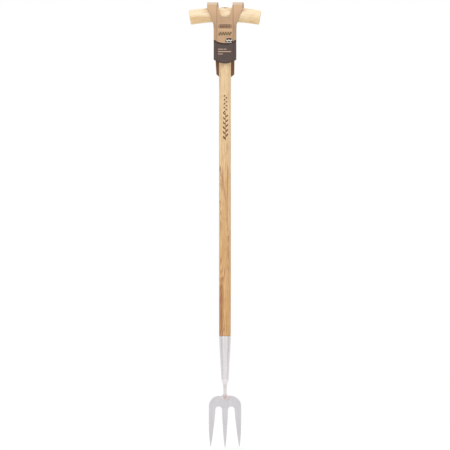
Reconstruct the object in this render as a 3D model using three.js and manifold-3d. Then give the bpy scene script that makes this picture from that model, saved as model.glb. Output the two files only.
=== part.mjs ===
// A long-handled digging fork: a three-tine stainless head on a swan neck, a conical socket,
// an ash shaft and an ash crossbar grip, with a folded card sleeve looped over the grip.
//
// Millimetres, +Z up, tines down. The origin is on the shaft's axis at the level of the centre
// tine's tip. X runs along the crossbar, and the front of the fork faces -Y.

import * as THREE from "three";
import { mergeVertices } from "three/addons/utils/BufferGeometryUtils.js";
import Module from "manifold-3d";

const wasm = await Module();
wasm.setup();

// ---------------------------------------------------------------- driving sizes

const overallHeight = 1036; // centre tine's tip to the crown of the crossbar
const fitGap = 0.3; // clearance kept between pieces that touch

// Head
const headWidth = 76;
const headHeight = 122;
const shoulderRadius = 26;
const centreTineRoot = 13.8; // width of the centre tine between the two slots
const slotWidth = 15.8;
const slotCrownDrop = 26; // from the top of the head to the crown of each slot
const outerTineLift = 2.2; // the outer tines stop this much short of the centre one
const outerTipInset = 4.2; // the outer tips stand this far in from the head's sides
const tipWidth = 1.8;
const plateThickness = 3.2;
const tipThickness = 1.8;
const tineSweepRadius = 380; // forward curve of the tines, seen from the side
const flatPlateHeight = 38; // the unbent band across the shoulders

// Neck
const neckDiameter = 8;
const neckLength = 26.3; // from the head's top to the socket's nose
const neckSetBack = 5; // how far the neck cranks back behind the shaft's axis
const neckInsert = 16; // hidden length inside the socket
const footThickness = 4;
const footWidth = 21;
const footDrop = 11; // how far the foot laps down over the plate
const footFlare = 7; // height over which the round neck spreads into the foot
const weldWidth = 2.4;
const weldHeight = 1.6;

// Socket
const socketLength = 114;
const socketRimStep = 0.6; // the rim stands this far proud of the shaft
const socketThroatDiameter = 17.2; // where the cone meets the rounded nose
const socketNoseLength = 19.5; // semi-axis of the elliptical nose
const socketWall = 1.5;
const socketLip = 0.4; // edge of the nose around the neck
const rivetDrop = 24; // below the socket's mouth
const rivetDiameter = 4;
const rivetLength = 17;
const rivetHeadDiameter = 8;
const rivetHeadHeight = 1.8;

// Shaft
const shaftDiameter = 28;
const shaftWaistReduction = 0.6; // the shaft is this much thinner just above the socket
const shaftTaperLength = 150;
const shaftToeClearance = 6; // from the throat of the socket to the shaft's lower end
const tenonShare = 0.68; // tenon diameter as a share of the shaft's

// Crossbar
const crossbarLength = 167; // along its curved centre line
const crossbarMidDiameter = 34.4;
const crossbarEndSwell = 0.6; // the ends are this much thicker than the middle
const crossbarBendRadius = 503;
const crossbarEdgeRadius = 3;
const wedgeEndInset = 2; // the wedge stops this far inside each side of the tenon
const wedgeDepth = 13;
const wedgeTopThickness = 2.6;
const wedgeToeThickness = 1;
const dowelDiameter = 5;
const dowelDrop = 4; // below the crossbar's axis
const dowelReach = 8; // how far past the shaft's axis the dowel goes

// Card sleeve
const cardThickness = 0.8;
const cardClearance = 0.6; // between the card and the thickest part of the crossbar
const facePanelMargin = 5; // from the shaft's side out to each fold line of the front panel
const sideFacetWidth = 7.7; // seen from the front, beside each fold line
const backPanelOverhang = 3.5; // the back panel's edges stand this far outside the fold lines
const backPanelStep = 4; // height over which the sides run in to the back panel's lower part
const sleeveSideSetBack = 15; // from the front panel back to the sleeve's widest line
const sleeveTopDrop = 4.6; // below the underside of the crossbar
const frontPanelLength = 85;
const frontPanelSag = 9; // roundness of its lower edge
const backPanelLength = 119;
const backPanelSag = 10;
const loopWidth = 23;
const loopRise = 11; // above the crown of the crossbar
const loopCornerRise = 6; // the loops' top corners are cut off over this height
const loopCornerDepth = 4;
const loopEdgeDrop = 4; // the straps' upright edges reach this far below the crossbar's crown
const notchDepth = 25; // from the crown of the crossbar down to the notch between the loops
const notchFloorWidth = 13;
const notchCorner = 2.5;

// Facets
const roundSides = 40;
const smallRoundSides = 20;
const curveSteps = 12;

// ---------------------------------------------------------------- derived places

const headHalfWidth = headWidth / 2;
const slotRadius = slotWidth / 2;
const slotCentreX = centreTineRoot / 2 + slotRadius;
const slotCentreZ = headHeight - slotCrownDrop - slotRadius;

const neckRadius = neckDiameter / 2;
const footFrontY = neckSetBack - footThickness / 2;
const footBackY = neckSetBack + footThickness / 2;
const plateFrontY = footBackY + fitGap;
const plateMidY = plateFrontY + plateThickness / 2;
const plateBackY = plateFrontY + plateThickness;
const plateBendZ = headHeight - flatPlateHeight;

const socketNoseZ = headHeight + neckLength;
const socketMouthZ = socketNoseZ + socketLength;
const throatRadius = socketThroatDiameter / 2;
const waistRadius = (shaftDiameter - shaftWaistReduction) / 2;
const mouthRadius = waistRadius + socketRimStep;
const noseHoleRadius = neckRadius + fitGap;
const noseStartAngle = Math.asin((noseHoleRadius + socketLip) / throatRadius);
const throatZ = socketNoseZ + socketNoseLength * Math.cos(noseStartAngle);
const rivetZ = socketMouthZ - rivetDrop;

const crossbarAxisZ = overallHeight - crossbarMidDiameter / 2;
const crossbarUnderZ = overallHeight - crossbarMidDiameter;
const crossbarEndDiameter = crossbarMidDiameter + crossbarEndSwell;
const shaftRadius = shaftDiameter / 2;
const tenonRadius = shaftRadius * tenonShare;
const tenonStartZ = crossbarUnderZ - tenonRadius;
const tenonTopZ = overallHeight + tenonRadius;

const cardInnerY = crossbarEndDiameter / 2 + cardClearance;
const cardOuterY = cardInnerY + cardThickness;
const foldX = shaftRadius + facePanelMargin;
const sideX = foldX + sideFacetWidth;
const backX = foldX + backPanelOverhang;
const sideY = -cardOuterY + sleeveSideSetBack;
const sleeveTopZ = crossbarUnderZ - sleeveTopDrop;
const loopTopZ = overallHeight + loopRise;
const loopCornerZ = loopTopZ - loopCornerRise;

// ---------------------------------------------------------------- geometry helpers

// A closed geometry as a manifold-3d solid.
function solidFrom(geometry) {
  const bare = geometry.clone();
  bare.deleteAttribute("normal");
  bare.deleteAttribute("uv");
  const merged = mergeVertices(bare, 1e-4);
  const mesh = new wasm.Mesh({
    numProp: 3,
    vertProperties: new Float32Array(merged.attributes.position.array),
    triVerts: new Uint32Array(merged.index.array),
  });
  return new wasm.Manifold(mesh);
}

// A manifold-3d solid as a geometry with flat faces.
function geometryFrom(solid) {
  const mesh = solid.getMesh();
  const geometry = new THREE.BufferGeometry();
  geometry.setAttribute("position", new THREE.BufferAttribute(mesh.vertProperties, 3));
  geometry.setIndex(new THREE.BufferAttribute(mesh.triVerts, 1));
  const faceted = geometry.toNonIndexed();
  faceted.computeVertexNormals();
  return faceted;
}

const axisX = new THREE.Vector3(1, 0, 0);
const axisY = new THREE.Vector3(0, 1, 0);
const axisZ = new THREE.Vector3(0, 0, 1);

function extrude(shape, depth) {
  return new THREE.ExtrudeGeometry(shape, {
    depth,
    bevelEnabled: false,
    curveSegments: curveSteps,
  });
}

// A front outline, drawn in X and Z, given thickness from frontY back to backY.
function extrudeFrontOutline(shape, frontY, backY) {
  const turned = new THREE.Matrix4().makeBasis(axisX, axisZ, axisY.clone().negate());
  return extrude(shape, backY - frontY).applyMatrix4(turned).translate(0, backY, 0);
}

// A side profile, drawn in Y and Z, given width from leftX to rightX.
function extrudeSideProfile(shape, leftX, rightX) {
  const turned = new THREE.Matrix4().makeBasis(axisY, axisZ, axisX);
  return extrude(shape, rightX - leftX).applyMatrix4(turned).translate(leftX, 0, 0);
}

// A plan, drawn in X and Y, given height from lowZ to highZ.
function extrudePlan(shape, lowZ, highZ) {
  return extrude(shape, highZ - lowZ).translate(0, 0, lowZ);
}

// A profile of [radius, height] pairs turned about the Z axis.
function revolve(profile, sides) {
  const points = profile.map(([radius, height]) => new THREE.Vector2(radius, height));
  return new THREE.LatheGeometry(points, sides).rotateX(Math.PI / 2);
}

// A polygon through [a, b] pairs.
function polygon(pairs) {
  return new THREE.Shape(pairs.map(([a, b]) => new THREE.Vector2(a, b)));
}

// The outline whose right half, from the bottom of the centre line to its top, is given as points.
function mirroredOutline(rightHalf) {
  const onAxis = (point) => Math.abs(point.x) < 1e-6;
  const leftHalf = rightHalf
    .filter((point) => !onAxis(point))
    .map((point) => new THREE.Vector2(-point.x, point.y))
    .reverse();
  return new THREE.Shape([...rightHalf, ...leftHalf]);
}

// A round bar along Y, for pins and their holes.
function barAlongY(radius, frontY, backY, z) {
  return new THREE.CylinderGeometry(radius, radius, backY - frontY, smallRoundSides)
    .translate(0, (frontY + backY) / 2, z);
}

function makePart(name, geometry, material) {
  const mesh = new THREE.Mesh(geometry, material);
  mesh.name = name;
  return mesh;
}

// ---------------------------------------------------------------- materials

const ash = new THREE.MeshStandardMaterial({ color: 0xd6b083, roughness: 0.5, metalness: 0 });
const hardwood = new THREE.MeshStandardMaterial({ color: 0x7a5230, roughness: 0.6, metalness: 0 });
const satinSteel = new THREE.MeshStandardMaterial({ color: 0xd3d1d2, roughness: 0.38, metalness: 1 });
const polishedSteel = new THREE.MeshStandardMaterial({ color: 0xdad6d2, roughness: 0.25, metalness: 1 });
const weldSteel = new THREE.MeshStandardMaterial({ color: 0xb9aead, roughness: 0.5, metalness: 1 });
const kraftCard = new THREE.MeshStandardMaterial({ color: 0xb98f68, roughness: 0.85, metalness: 0 });

// ---------------------------------------------------------------- head

// The head as seen from the front: slots with round crowns between three pointed tines.
function headOutline() {
  const sideX = headHalfWidth;
  const centreHalf = centreTineRoot / 2;
  const tipHalf = tipWidth / 2;
  const outerTipX = headHalfWidth - outerTipInset;
  const outerTipZ = outerTineLift;
  const slotOuterX = slotCentreX + slotRadius;
  const taperStartZ = headHeight * 0.34;
  const half = new THREE.Path();
  half.moveTo(0, 0);
  half.lineTo(tipHalf, tipHalf);
  half.quadraticCurveTo(centreHalf * 0.77, slotCentreZ * 0.38, centreHalf, slotCentreZ);
  half.absarc(slotCentreX, slotCentreZ, slotRadius, Math.PI, 0, true);
  half.quadraticCurveTo(
    slotOuterX + (outerTipX - slotOuterX) * 0.28,
    slotCentreZ * 0.51,
    outerTipX - tipHalf,
    outerTipZ + tipHalf,
  );
  half.lineTo(outerTipX, outerTipZ);
  half.lineTo(outerTipX + tipHalf, outerTipZ + tipHalf);
  half.quadraticCurveTo(sideX - outerTipInset * 0.3, taperStartZ * 0.45, sideX, taperStartZ);
  half.lineTo(sideX, headHeight - shoulderRadius);
  half.absarc(sideX - shoulderRadius, headHeight - shoulderRadius, shoulderRadius, 0, Math.PI / 2);
  half.lineTo(0, headHeight);
  return mirroredOutline(half.getPoints(curveSteps));
}

// The plate as seen from the side: flat across the shoulders, then swept forward and thinned.
function plateProfile() {
  const front = [];
  const back = [];
  const tipAngle = Math.asin((plateBendZ + tipThickness) / tineSweepRadius);
  for (let step = 0; step <= curveSteps; step += 1) {
    const share = step / curveSteps;
    const angle = tipAngle * share;
    const half = (plateThickness + (tipThickness - plateThickness) * share) / 2;
    const centreY = plateMidY - tineSweepRadius;
    front.push([
      centreY + (tineSweepRadius - half) * Math.cos(angle),
      plateBendZ - (tineSweepRadius - half) * Math.sin(angle),
    ]);
    back.push([
      centreY + (tineSweepRadius + half) * Math.cos(angle),
      plateBendZ - (tineSweepRadius + half) * Math.sin(angle),
    ]);
  }
  const topZ = headHeight + plateThickness;
  return polygon([[plateBackY, topZ], [plateFrontY, topZ], ...front, ...back.reverse()]);
}

function makeForkHead() {
  const reach = headHeight;
  const outline = solidFrom(extrudeFrontOutline(headOutline(), -reach, reach));
  const plate = solidFrom(extrudeSideProfile(plateProfile(), -headWidth, headWidth));
  return makePart("fork_head", geometryFrom(outline.intersect(plate)), satinSteel);
}

// ---------------------------------------------------------------- neck and welds

// The neck's centre line: straight in the socket, cranked back, then straight onto the head.
function neckPath() {
  const point = (y, z) => new THREE.Vector3(0, y, z);
  const crankTopZ = socketNoseZ - fitGap - weldHeight - 1;
  const crankFootZ = headHeight + footFlare / 2;
  const pull = (crankTopZ - crankFootZ) / 2;
  const path = new THREE.CurvePath();
  path.add(new THREE.LineCurve3(point(0, socketNoseZ + neckInsert), point(0, crankTopZ)));
  path.add(
    new THREE.CubicBezierCurve3(
      point(0, crankTopZ),
      point(0, crankTopZ - pull),
      point(neckSetBack, crankFootZ + pull),
      point(neckSetBack, crankFootZ),
    ),
  );
  path.add(new THREE.LineCurve3(point(neckSetBack, crankFootZ), point(neckSetBack, headHeight + fitGap)));
  return path;
}

// The foot as seen from the front: the neck spreads out and ends in a blunt V.
function footOutline() {
  const half = new THREE.Path();
  half.moveTo(0, headHeight - footDrop);
  half.lineTo(tipWidth / 2, headHeight - footDrop);
  half.lineTo(footWidth / 2, headHeight - tipWidth / 2);
  half.lineTo(footWidth / 2, headHeight);
  half.quadraticCurveTo(neckRadius, headHeight + tipWidth, neckRadius * 0.8, headHeight + footFlare);
  half.lineTo(0, headHeight + footFlare);
  return mirroredOutline(half.getPoints(curveSteps / 2));
}

function makeNeck() {
  const section = new THREE.Shape().absarc(0, 0, neckRadius, 0, Math.PI * 2);
  const rod = new THREE.ExtrudeGeometry(section, {
    steps: curveSteps * 2,
    curveSegments: smallRoundSides / 2,
    extrudePath: neckPath(),
  });
  const foot = extrudeFrontOutline(footOutline(), footFrontY, footBackY);
  return makePart("neck", geometryFrom(solidFrom(rod).add(solidFrom(foot))), satinSteel);
}

// A V of weld along the two slanted edges of the foot, lying on the front of the plate.
function makeHeadWeld() {
  const rise = footDrop - tipWidth / 2;
  const run = (footWidth - tipWidth) / 2;
  const drop = rise / run;
  const edgeZ = (x) => headHeight - footDrop + (x - tipWidth / 2) * drop;
  const slant = Math.hypot(1, drop);
  const innerX = footWidth / 2;
  const innerZ = edgeZ(innerX);
  const gapDown = fitGap * slant;
  const beadDown = gapDown + weldWidth * slant;
  const half = [
    [0, headHeight - footDrop - beadDown],
    [innerX, innerZ - beadDown],
    [innerX, innerZ - gapDown],
    [tipWidth / 2, headHeight - footDrop - gapDown],
    [0, headHeight - footDrop - gapDown],
  ];
  const outline = mirroredOutline(half.map(([x, z]) => new THREE.Vector2(x, z)));
  const frontY = plateFrontY - fitGap - weldHeight;
  const bead = extrudeFrontOutline(outline, frontY, plateFrontY - fitGap);
  return makePart("head_weld", bead, weldSteel);
}

// A ring of weld round the neck, under the nose of the socket.
function makeSocketWeld() {
  const topZ = socketNoseZ - fitGap;
  const innerRadius = neckRadius + fitGap;
  const profile = [
    [innerRadius, topZ - weldHeight],
    [innerRadius + weldHeight * 0.5, topZ - weldHeight * 0.7],
    [innerRadius + weldHeight * 0.75, topZ],
    [innerRadius, topZ],
    [innerRadius, topZ - weldHeight],
  ];
  return makePart("socket_weld", revolve(profile, smallRoundSides), weldSteel);
}

// ---------------------------------------------------------------- socket and its rivet

// Outer radius of the socket's cone at a height.
function coneRadius(z) {
  const share = (z - throatZ) / (socketMouthZ - throatZ);
  return throatRadius + (mouthRadius - throatRadius) * share;
}

// Profile points round the elliptical nose, inset by a wall, from the hole up to the throat.
function nosePoints(inset, holeRadius) {
  const startAngle = Math.asin(holeRadius / (throatRadius - inset));
  const points = [];
  for (let step = 0; step <= curveSteps / 2; step += 1) {
    const angle = startAngle + (Math.PI / 2 - startAngle) * (step / (curveSteps / 2));
    points.push([
      (throatRadius - inset) * Math.sin(angle),
      throatZ - (socketNoseLength - inset) * Math.cos(angle),
    ]);
  }
  return points;
}

function socketSolid() {
  const outer = nosePoints(0, noseHoleRadius + socketLip);
  const inner = nosePoints(socketWall, noseHoleRadius).reverse();
  const profile = [
    [noseHoleRadius, socketNoseZ],
    ...outer,
    [mouthRadius, socketMouthZ],
    [mouthRadius - socketWall, socketMouthZ],
    ...inner,
    [noseHoleRadius, socketNoseZ],
  ];
  return solidFrom(revolve(profile, roundSides));
}

const rivetFrontY = coneRadius(rivetZ) - rivetLength;
const rivetBackY = coneRadius(rivetZ) + rivetHeadHeight * 2;

function rivetHole() {
  return solidFrom(barAlongY(rivetDiameter / 2 + fitGap, rivetFrontY - fitGap, rivetBackY, rivetZ));
}

function makeSocket() {
  return makePart("socket", geometryFrom(socketSolid().subtract(rivetHole())), polishedSteel);
}

// A blind pin driven in from behind, with a low domed head that follows the cone.
function makeRivet() {
  const headRadius = rivetHeadDiameter / 2;
  const profile = [[0, rivetFrontY]];
  profile.push([rivetDiameter / 2 - socketLip, rivetFrontY]);
  profile.push([rivetDiameter / 2, rivetFrontY + 1]);
  profile.push([rivetDiameter / 2, coneRadius(rivetZ) - socketWall]);
  profile.push([headRadius, coneRadius(rivetZ) - socketWall]);
  profile.push([headRadius, coneRadius(rivetZ) + fitGap]);
  for (let step = 1; step <= curveSteps / 2; step += 1) {
    const angle = (Math.PI / 2) * (step / (curveSteps / 2));
    const domeHeight = rivetHeadHeight * Math.sin(angle);
    profile.push([headRadius * Math.cos(angle), coneRadius(rivetZ) + fitGap + domeHeight]);
  }
  profile[profile.length - 1][0] = 0;
  const pinned = revolve(profile, smallRoundSides).rotateX(-Math.PI / 2).translate(0, 0, rivetZ);
  const keepOut = revolve(
    [
      [0, throatZ],
      [throatRadius + fitGap, throatZ],
      [mouthRadius + fitGap, socketMouthZ],
      [0, socketMouthZ],
    ],
    roundSides,
  );
  const shank = barAlongY(rivetDiameter / 2, rivetFrontY, rivetBackY - rivetHeadHeight, rivetZ);
  const head = solidFrom(pinned).subtract(solidFrom(keepOut));
  return makePart("socket_rivet", geometryFrom(head.add(solidFrom(shank))), polishedSteel);
}

// ---------------------------------------------------------------- crossbar

// Moves a straight bar along X onto the crossbar's drooping arc.
function bendOverArc(geometry) {
  const position = geometry.attributes.position;
  for (let index = 0; index < position.count; index += 1) {
    const angle = position.getX(index) / crossbarBendRadius;
    const radius = crossbarBendRadius + position.getZ(index);
    position.setX(index, radius * Math.sin(angle));
    position.setZ(index, radius * Math.cos(angle) - crossbarBendRadius);
  }
  return geometry.translate(0, 0, crossbarAxisZ);
}

// The crossbar's outer form, grown by an extra radius when it is used as a cutter.
function crossbarForm(grow = 0) {
  const halfLength = crossbarLength / 2;
  const straight = halfLength - crossbarEdgeRadius;
  const radiusAt = (x) => {
    const share = (x / halfLength) ** 2;
    return grow + (crossbarMidDiameter + crossbarEndSwell * share) / 2;
  };
  const rightHalf = [];
  for (let step = 0; step <= curveSteps * 0.75; step += 1) {
    const x = straight * (step / (curveSteps * 0.75));
    rightHalf.push([radiusAt(x), x]);
  }
  const edgeRadius = radiusAt(straight) - crossbarEdgeRadius;
  for (let step = 1; step <= curveSteps / 3; step += 1) {
    const angle = (Math.PI / 2) * (step / (curveSteps / 3));
    rightHalf.push([
      edgeRadius + crossbarEdgeRadius * Math.cos(angle),
      straight + crossbarEdgeRadius * Math.sin(angle),
    ]);
  }
  rightHalf.push([0, halfLength]);
  const leftHalf = rightHalf.slice(1).map(([radius, x]) => [radius, -x]).reverse();
  const points = [...leftHalf, ...rightHalf].map(([radius, x]) => new THREE.Vector2(radius, x));
  const straightBar = new THREE.LatheGeometry(points, roundSides).rotateZ(-Math.PI / 2);
  return solidFrom(bendOverArc(straightBar));
}

// A round bar up through the crossbar, for the tenon and for the mortise it fills.
function tenonBar(radius) {
  const profile = [
    [0, tenonStartZ],
    [radius, tenonStartZ],
    [radius, tenonTopZ],
    [0, tenonTopZ],
  ];
  return revolve(profile, roundSides);
}

function mortise() {
  return solidFrom(tenonBar(tenonRadius + fitGap));
}

function dowelBar(radius, frontY) {
  return solidFrom(barAlongY(radius, frontY, crossbarMidDiameter, crossbarAxisZ - dowelDrop));
}

function dowelHole() {
  return dowelBar(dowelDiameter / 2 + fitGap, -dowelReach - fitGap);
}

function makeCrossbar() {
  const grip = crossbarForm().subtract(mortise()).subtract(dowelHole());
  return makePart("crossbar", geometryFrom(grip), ash);
}

// A peg driven in from behind, trimmed to the back of the crossbar.
function makeDowel() {
  const peg = dowelBar(dowelDiameter / 2, -dowelReach).intersect(crossbarForm());
  return makePart("crossbar_dowel", geometryFrom(peg), hardwood);
}

// The wedge that spreads the tenon, or the kerf it is driven into when grown.
function wedgeForm(grow = 0) {
  const topZ = overallHeight + wedgeTopThickness;
  const toeZ = overallHeight - wedgeDepth - grow;
  const width = tenonRadius - wedgeEndInset + grow;
  const side = polygon([
    [-wedgeToeThickness / 2 - grow, toeZ],
    [wedgeToeThickness / 2 + grow, toeZ],
    [wedgeTopThickness / 2 + grow, topZ],
    [-wedgeTopThickness / 2 - grow, topZ],
  ]);
  return solidFrom(extrudeFrontOutline(side, -width, width));
}

function makeWedge() {
  return makePart("crossbar_wedge", geometryFrom(wedgeForm().intersect(crossbarForm())), hardwood);
}

// ---------------------------------------------------------------- shaft

// Turned ash: a cone that fills the socket, a shoulder on its rim, and a round tenon on top.
function makeShaft() {
  const toeZ = throatZ + shaftToeClearance;
  const insideRadius = (z) => coneRadius(z) - socketWall - fitGap;
  const shoulderZ = socketMouthZ + fitGap;
  const profile = [
    [0, toeZ],
    [insideRadius(toeZ), toeZ],
    [insideRadius(socketMouthZ), shoulderZ],
    [waistRadius, shoulderZ],
    [shaftRadius, shoulderZ + shaftTaperLength],
    [shaftRadius, crossbarAxisZ],
    [0, crossbarAxisZ],
  ];
  const body = solidFrom(revolve(profile, roundSides)).subtract(crossbarForm(fitGap));
  const tenon = solidFrom(tenonBar(tenonRadius));
  const aboveBar = solidFrom(
    new THREE.BoxGeometry(shaftDiameter * 2, shaftDiameter * 2, shaftDiameter * 2)
      .translate(0, 0, crossbarAxisZ + shaftDiameter),
  ).subtract(crossbarForm());
  const shaft = body
    .add(tenon.subtract(aboveBar))
    .subtract(wedgeForm(fitGap))
    .subtract(dowelHole())
    .subtract(rivetHole());
  return makePart("shaft", geometryFrom(shaft), ash);
}

// ---------------------------------------------------------------- card sleeve

// The sleeve's plan below the crossbar: a flat tube with two creased sides.
function sleevePlan(inset) {
  const frontY = -cardOuterY + inset;
  const backY = cardOuterY - inset;
  const rightSide = [
    [foldX, frontY],
    [sideX - inset, sideY],
    [backX, backY],
  ];
  const leftSide = rightSide.map(([x, y]) => [-x, y]).reverse();
  return polygon([...rightSide, ...leftSide]);
}

// The lower edge and sides of the front panel, from the centre line out to the tube's top.
function frontPanelEdge(half) {
  const cornerZ = sleeveTopZ - frontPanelLength;
  half.moveTo(0, cornerZ - frontPanelSag);
  half.quadraticCurveTo(sideX / 2, cornerZ - frontPanelSag, sideX, cornerZ);
}

// The same for the back panel, which hangs lower and is narrower there.
function backPanelEdge(half) {
  const cornerZ = sleeveTopZ - backPanelLength;
  const stepZ = sleeveTopZ - frontPanelLength;
  half.moveTo(0, cornerZ - backPanelSag);
  half.quadraticCurveTo(backX / 2, cornerZ - backPanelSag, backX, cornerZ);
  half.lineTo(backX, stepZ - backPanelStep);
  half.lineTo(sideX, stepZ);
}

// One panel as seen from the front, with two loop straps and a notch above.
function panelOutline(drawEdge) {
  const notchX = notchFloorWidth / 2;
  const notchZ = overallHeight - notchDepth;
  const half = new THREE.Path();
  drawEdge(half);
  half.lineTo(sideX, sleeveTopZ);
  half.lineTo(foldX + loopWidth, overallHeight - loopEdgeDrop);
  half.lineTo(foldX + loopWidth, loopCornerZ);
  half.lineTo(foldX, loopCornerZ);
  half.lineTo(notchX + notchCorner, notchZ + notchCorner);
  half.quadraticCurveTo(notchX, notchZ, notchX - notchCorner, notchZ);
  half.lineTo(0, notchZ);
  return mirroredOutline(half.getPoints(curveSteps / 2));
}

// The flat area of the straps, reaching a little below the tube's top beside each fold line.
function strapOutline() {
  const strapX = foldX + loopWidth;
  return polygon([
    [-foldX, sleeveTopZ - sideX + foldX],
    [foldX, sleeveTopZ - sideX + foldX],
    [sideX, sleeveTopZ],
    [strapX, sleeveTopZ],
    [strapX, loopCornerZ],
    [-strapX, loopCornerZ],
    [-strapX, sleeveTopZ],
    [-sideX, sleeveTopZ],
  ]);
}

// One half of the sleeve, in front of or behind its widest line, cut to its panel's outline.
function sleeveHalf(tube, isFront) {
  const outline = panelOutline(isFront ? frontPanelEdge : backPanelEdge);
  const [nearY, farY] = isFront ? [-cardOuterY * 2, sideY] : [sideY, cardOuterY * 2];
  const [strapFrontY, strapBackY] = isFront ? [-cardOuterY, -cardInnerY] : [cardInnerY, cardOuterY];
  const cutter = solidFrom(extrudeFrontOutline(outline, nearY, farY));
  const straps = solidFrom(extrudeFrontOutline(strapOutline(), strapFrontY, strapBackY));
  return tube.add(straps).intersect(cutter);
}

// The top of one loop: a strap folded over the crossbar with its corners cut off.
function loopTop(isRight) {
  const arch = (inset) => [
    [cardOuterY - inset, loopCornerZ],
    [cardOuterY - loopCornerDepth - inset / 2, loopTopZ - inset],
  ];
  const mirror = (points) => points.map(([y, z]) => [-y, z]).reverse();
  const profile = [
    ...arch(0),
    ...mirror(arch(0)),
    ...mirror(arch(cardThickness)).reverse(),
    ...arch(cardThickness).reverse(),
  ];
  const [leftX, rightX] = isRight ? [foldX, foldX + loopWidth] : [-foldX - loopWidth, -foldX];
  return solidFrom(extrudeSideProfile(polygon(profile), leftX, rightX));
}

function makeSleeve() {
  const lowZ = sleeveTopZ - backPanelLength - backPanelSag * 2;
  const tube = solidFrom(extrudePlan(sleevePlan(0), lowZ, sleeveTopZ)).subtract(
    solidFrom(extrudePlan(sleevePlan(cardThickness), lowZ - 1, sleeveTopZ + 1)),
  );
  const sleeve = sleeveHalf(tube, true)
    .add(sleeveHalf(tube, false))
    .add(loopTop(true))
    .add(loopTop(false));
  return makePart("card_sleeve", geometryFrom(sleeve), kraftCard);
}

// ---------------------------------------------------------------- assembly

const fork = new THREE.Group();
fork.name = "digging_fork";
fork.add(
  makeForkHead(),
  makeNeck(),
  makeHeadWeld(),
  makeSocketWeld(),
  makeSocket(),
  makeRivet(),
  makeShaft(),
  makeCrossbar(),
  makeWedge(),
  makeDowel(),
  makeSleeve(),
);

export default fork;
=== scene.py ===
"""The looks of a long-handled digging fork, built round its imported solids.

Metres, Z up, the front of the fork towards -Y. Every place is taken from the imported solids'
boxes, and every finish is made of procedural nodes.
"""

import logging
import math
from collections.abc import Callable, Iterable, Sequence
from dataclasses import dataclass, replace
from enum import Enum
from functools import partial
from typing import Any

import bmesh
import bpy
from bmesh.types import BMEdge, BMesh, BMVert
from mathutils import Matrix, Vector


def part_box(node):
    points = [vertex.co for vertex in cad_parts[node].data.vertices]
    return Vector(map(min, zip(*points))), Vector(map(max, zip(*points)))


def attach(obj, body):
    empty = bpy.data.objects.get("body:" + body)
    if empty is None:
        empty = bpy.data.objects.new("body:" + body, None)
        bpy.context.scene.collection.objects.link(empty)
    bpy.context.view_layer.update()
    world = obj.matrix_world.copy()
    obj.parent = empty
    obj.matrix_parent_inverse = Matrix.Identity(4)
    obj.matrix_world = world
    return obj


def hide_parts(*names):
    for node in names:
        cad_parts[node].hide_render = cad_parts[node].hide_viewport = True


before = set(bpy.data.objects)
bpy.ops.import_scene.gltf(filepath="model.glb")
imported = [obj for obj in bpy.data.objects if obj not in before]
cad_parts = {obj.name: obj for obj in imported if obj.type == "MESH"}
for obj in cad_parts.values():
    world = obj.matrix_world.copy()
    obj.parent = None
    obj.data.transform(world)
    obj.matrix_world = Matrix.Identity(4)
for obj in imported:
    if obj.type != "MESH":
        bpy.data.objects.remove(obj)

LOG = logging.getLogger("digging_fork")
MM = 0.001
MERGE_GAP = 0.001 * MM
GLUE_LINE = 0.3 * MM
FORK = "fork"
SLEEVE = "card_sleeve"
FLAT_MAP = "flat_sheet"
FORWARD = Vector((0.0, -1.0, 0.0))
RIGHT = Vector((1.0, 0.0, 0.0))
UP = Vector((0.0, 0.0, 1.0))

Colour = tuple[float, float, float, float]
Place = tuple[float, float, float]
Point = tuple[float, float]
Wire = bpy.types.NodeSocket


def display(red: int, green: int, blue: int) -> Colour:
    """Turns a colour as it shows on a screen into the linear one that shaders take.

    Args:
        red: Red from 0 to 255.
        green: Green from 0 to 255.
        blue: Blue from 0 to 255.

    Returns:
        The linear colour, with an alpha of 1.
    """
    linear = []
    for channel in (red, green, blue):
        share = channel / 255.0
        linear.append(share / 12.92 if share <= 0.04045 else ((share + 0.055) / 1.055) ** 2.4)
    return linear[0], linear[1], linear[2], 1.0


def tinted(colour: Colour, share: float) -> Colour:
    """Returns a colour made darker or lighter by a share, with no part above 1."""
    red, green, blue = (min(1.0, part * share) for part in colour[:3])
    return red, green, blue, 1.0


def mix(start: float, end: float, share: float) -> float:
    """Returns the value a share of the way from start to end."""
    return start + (end - start) * share


def ease(value: float, low: float, high: float) -> float:
    """Returns 0 below low, 1 above high, and an S-curve between them."""
    share = min(1.0, max(0.0, (value - low) / (high - low)))
    return share * share * (3.0 - 2.0 * share)


def read_table(table: Sequence[Point], value: float) -> float:
    """Reads a table of (position, reading) pairs, straight between its rows.

    Args:
        table: The pairs, in order of position.
        value: Where to read it.

    Returns:
        The reading, held level past both ends.
    """
    if value <= table[0][0]:
        return table[0][1]
    for (start, low), (end, high) in zip(table, table[1:]):
        if value <= end:
            return mix(low, high, (value - start) / (end - start))
    return table[-1][1]


def lengthwise(rate: float) -> Place:
    """Returns the scale that draws a pattern out along Z, by giving it a lower rate there."""
    return 1.0, 1.0, rate


# ------------------------------------------------------------------ node sheets and finishes


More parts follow.
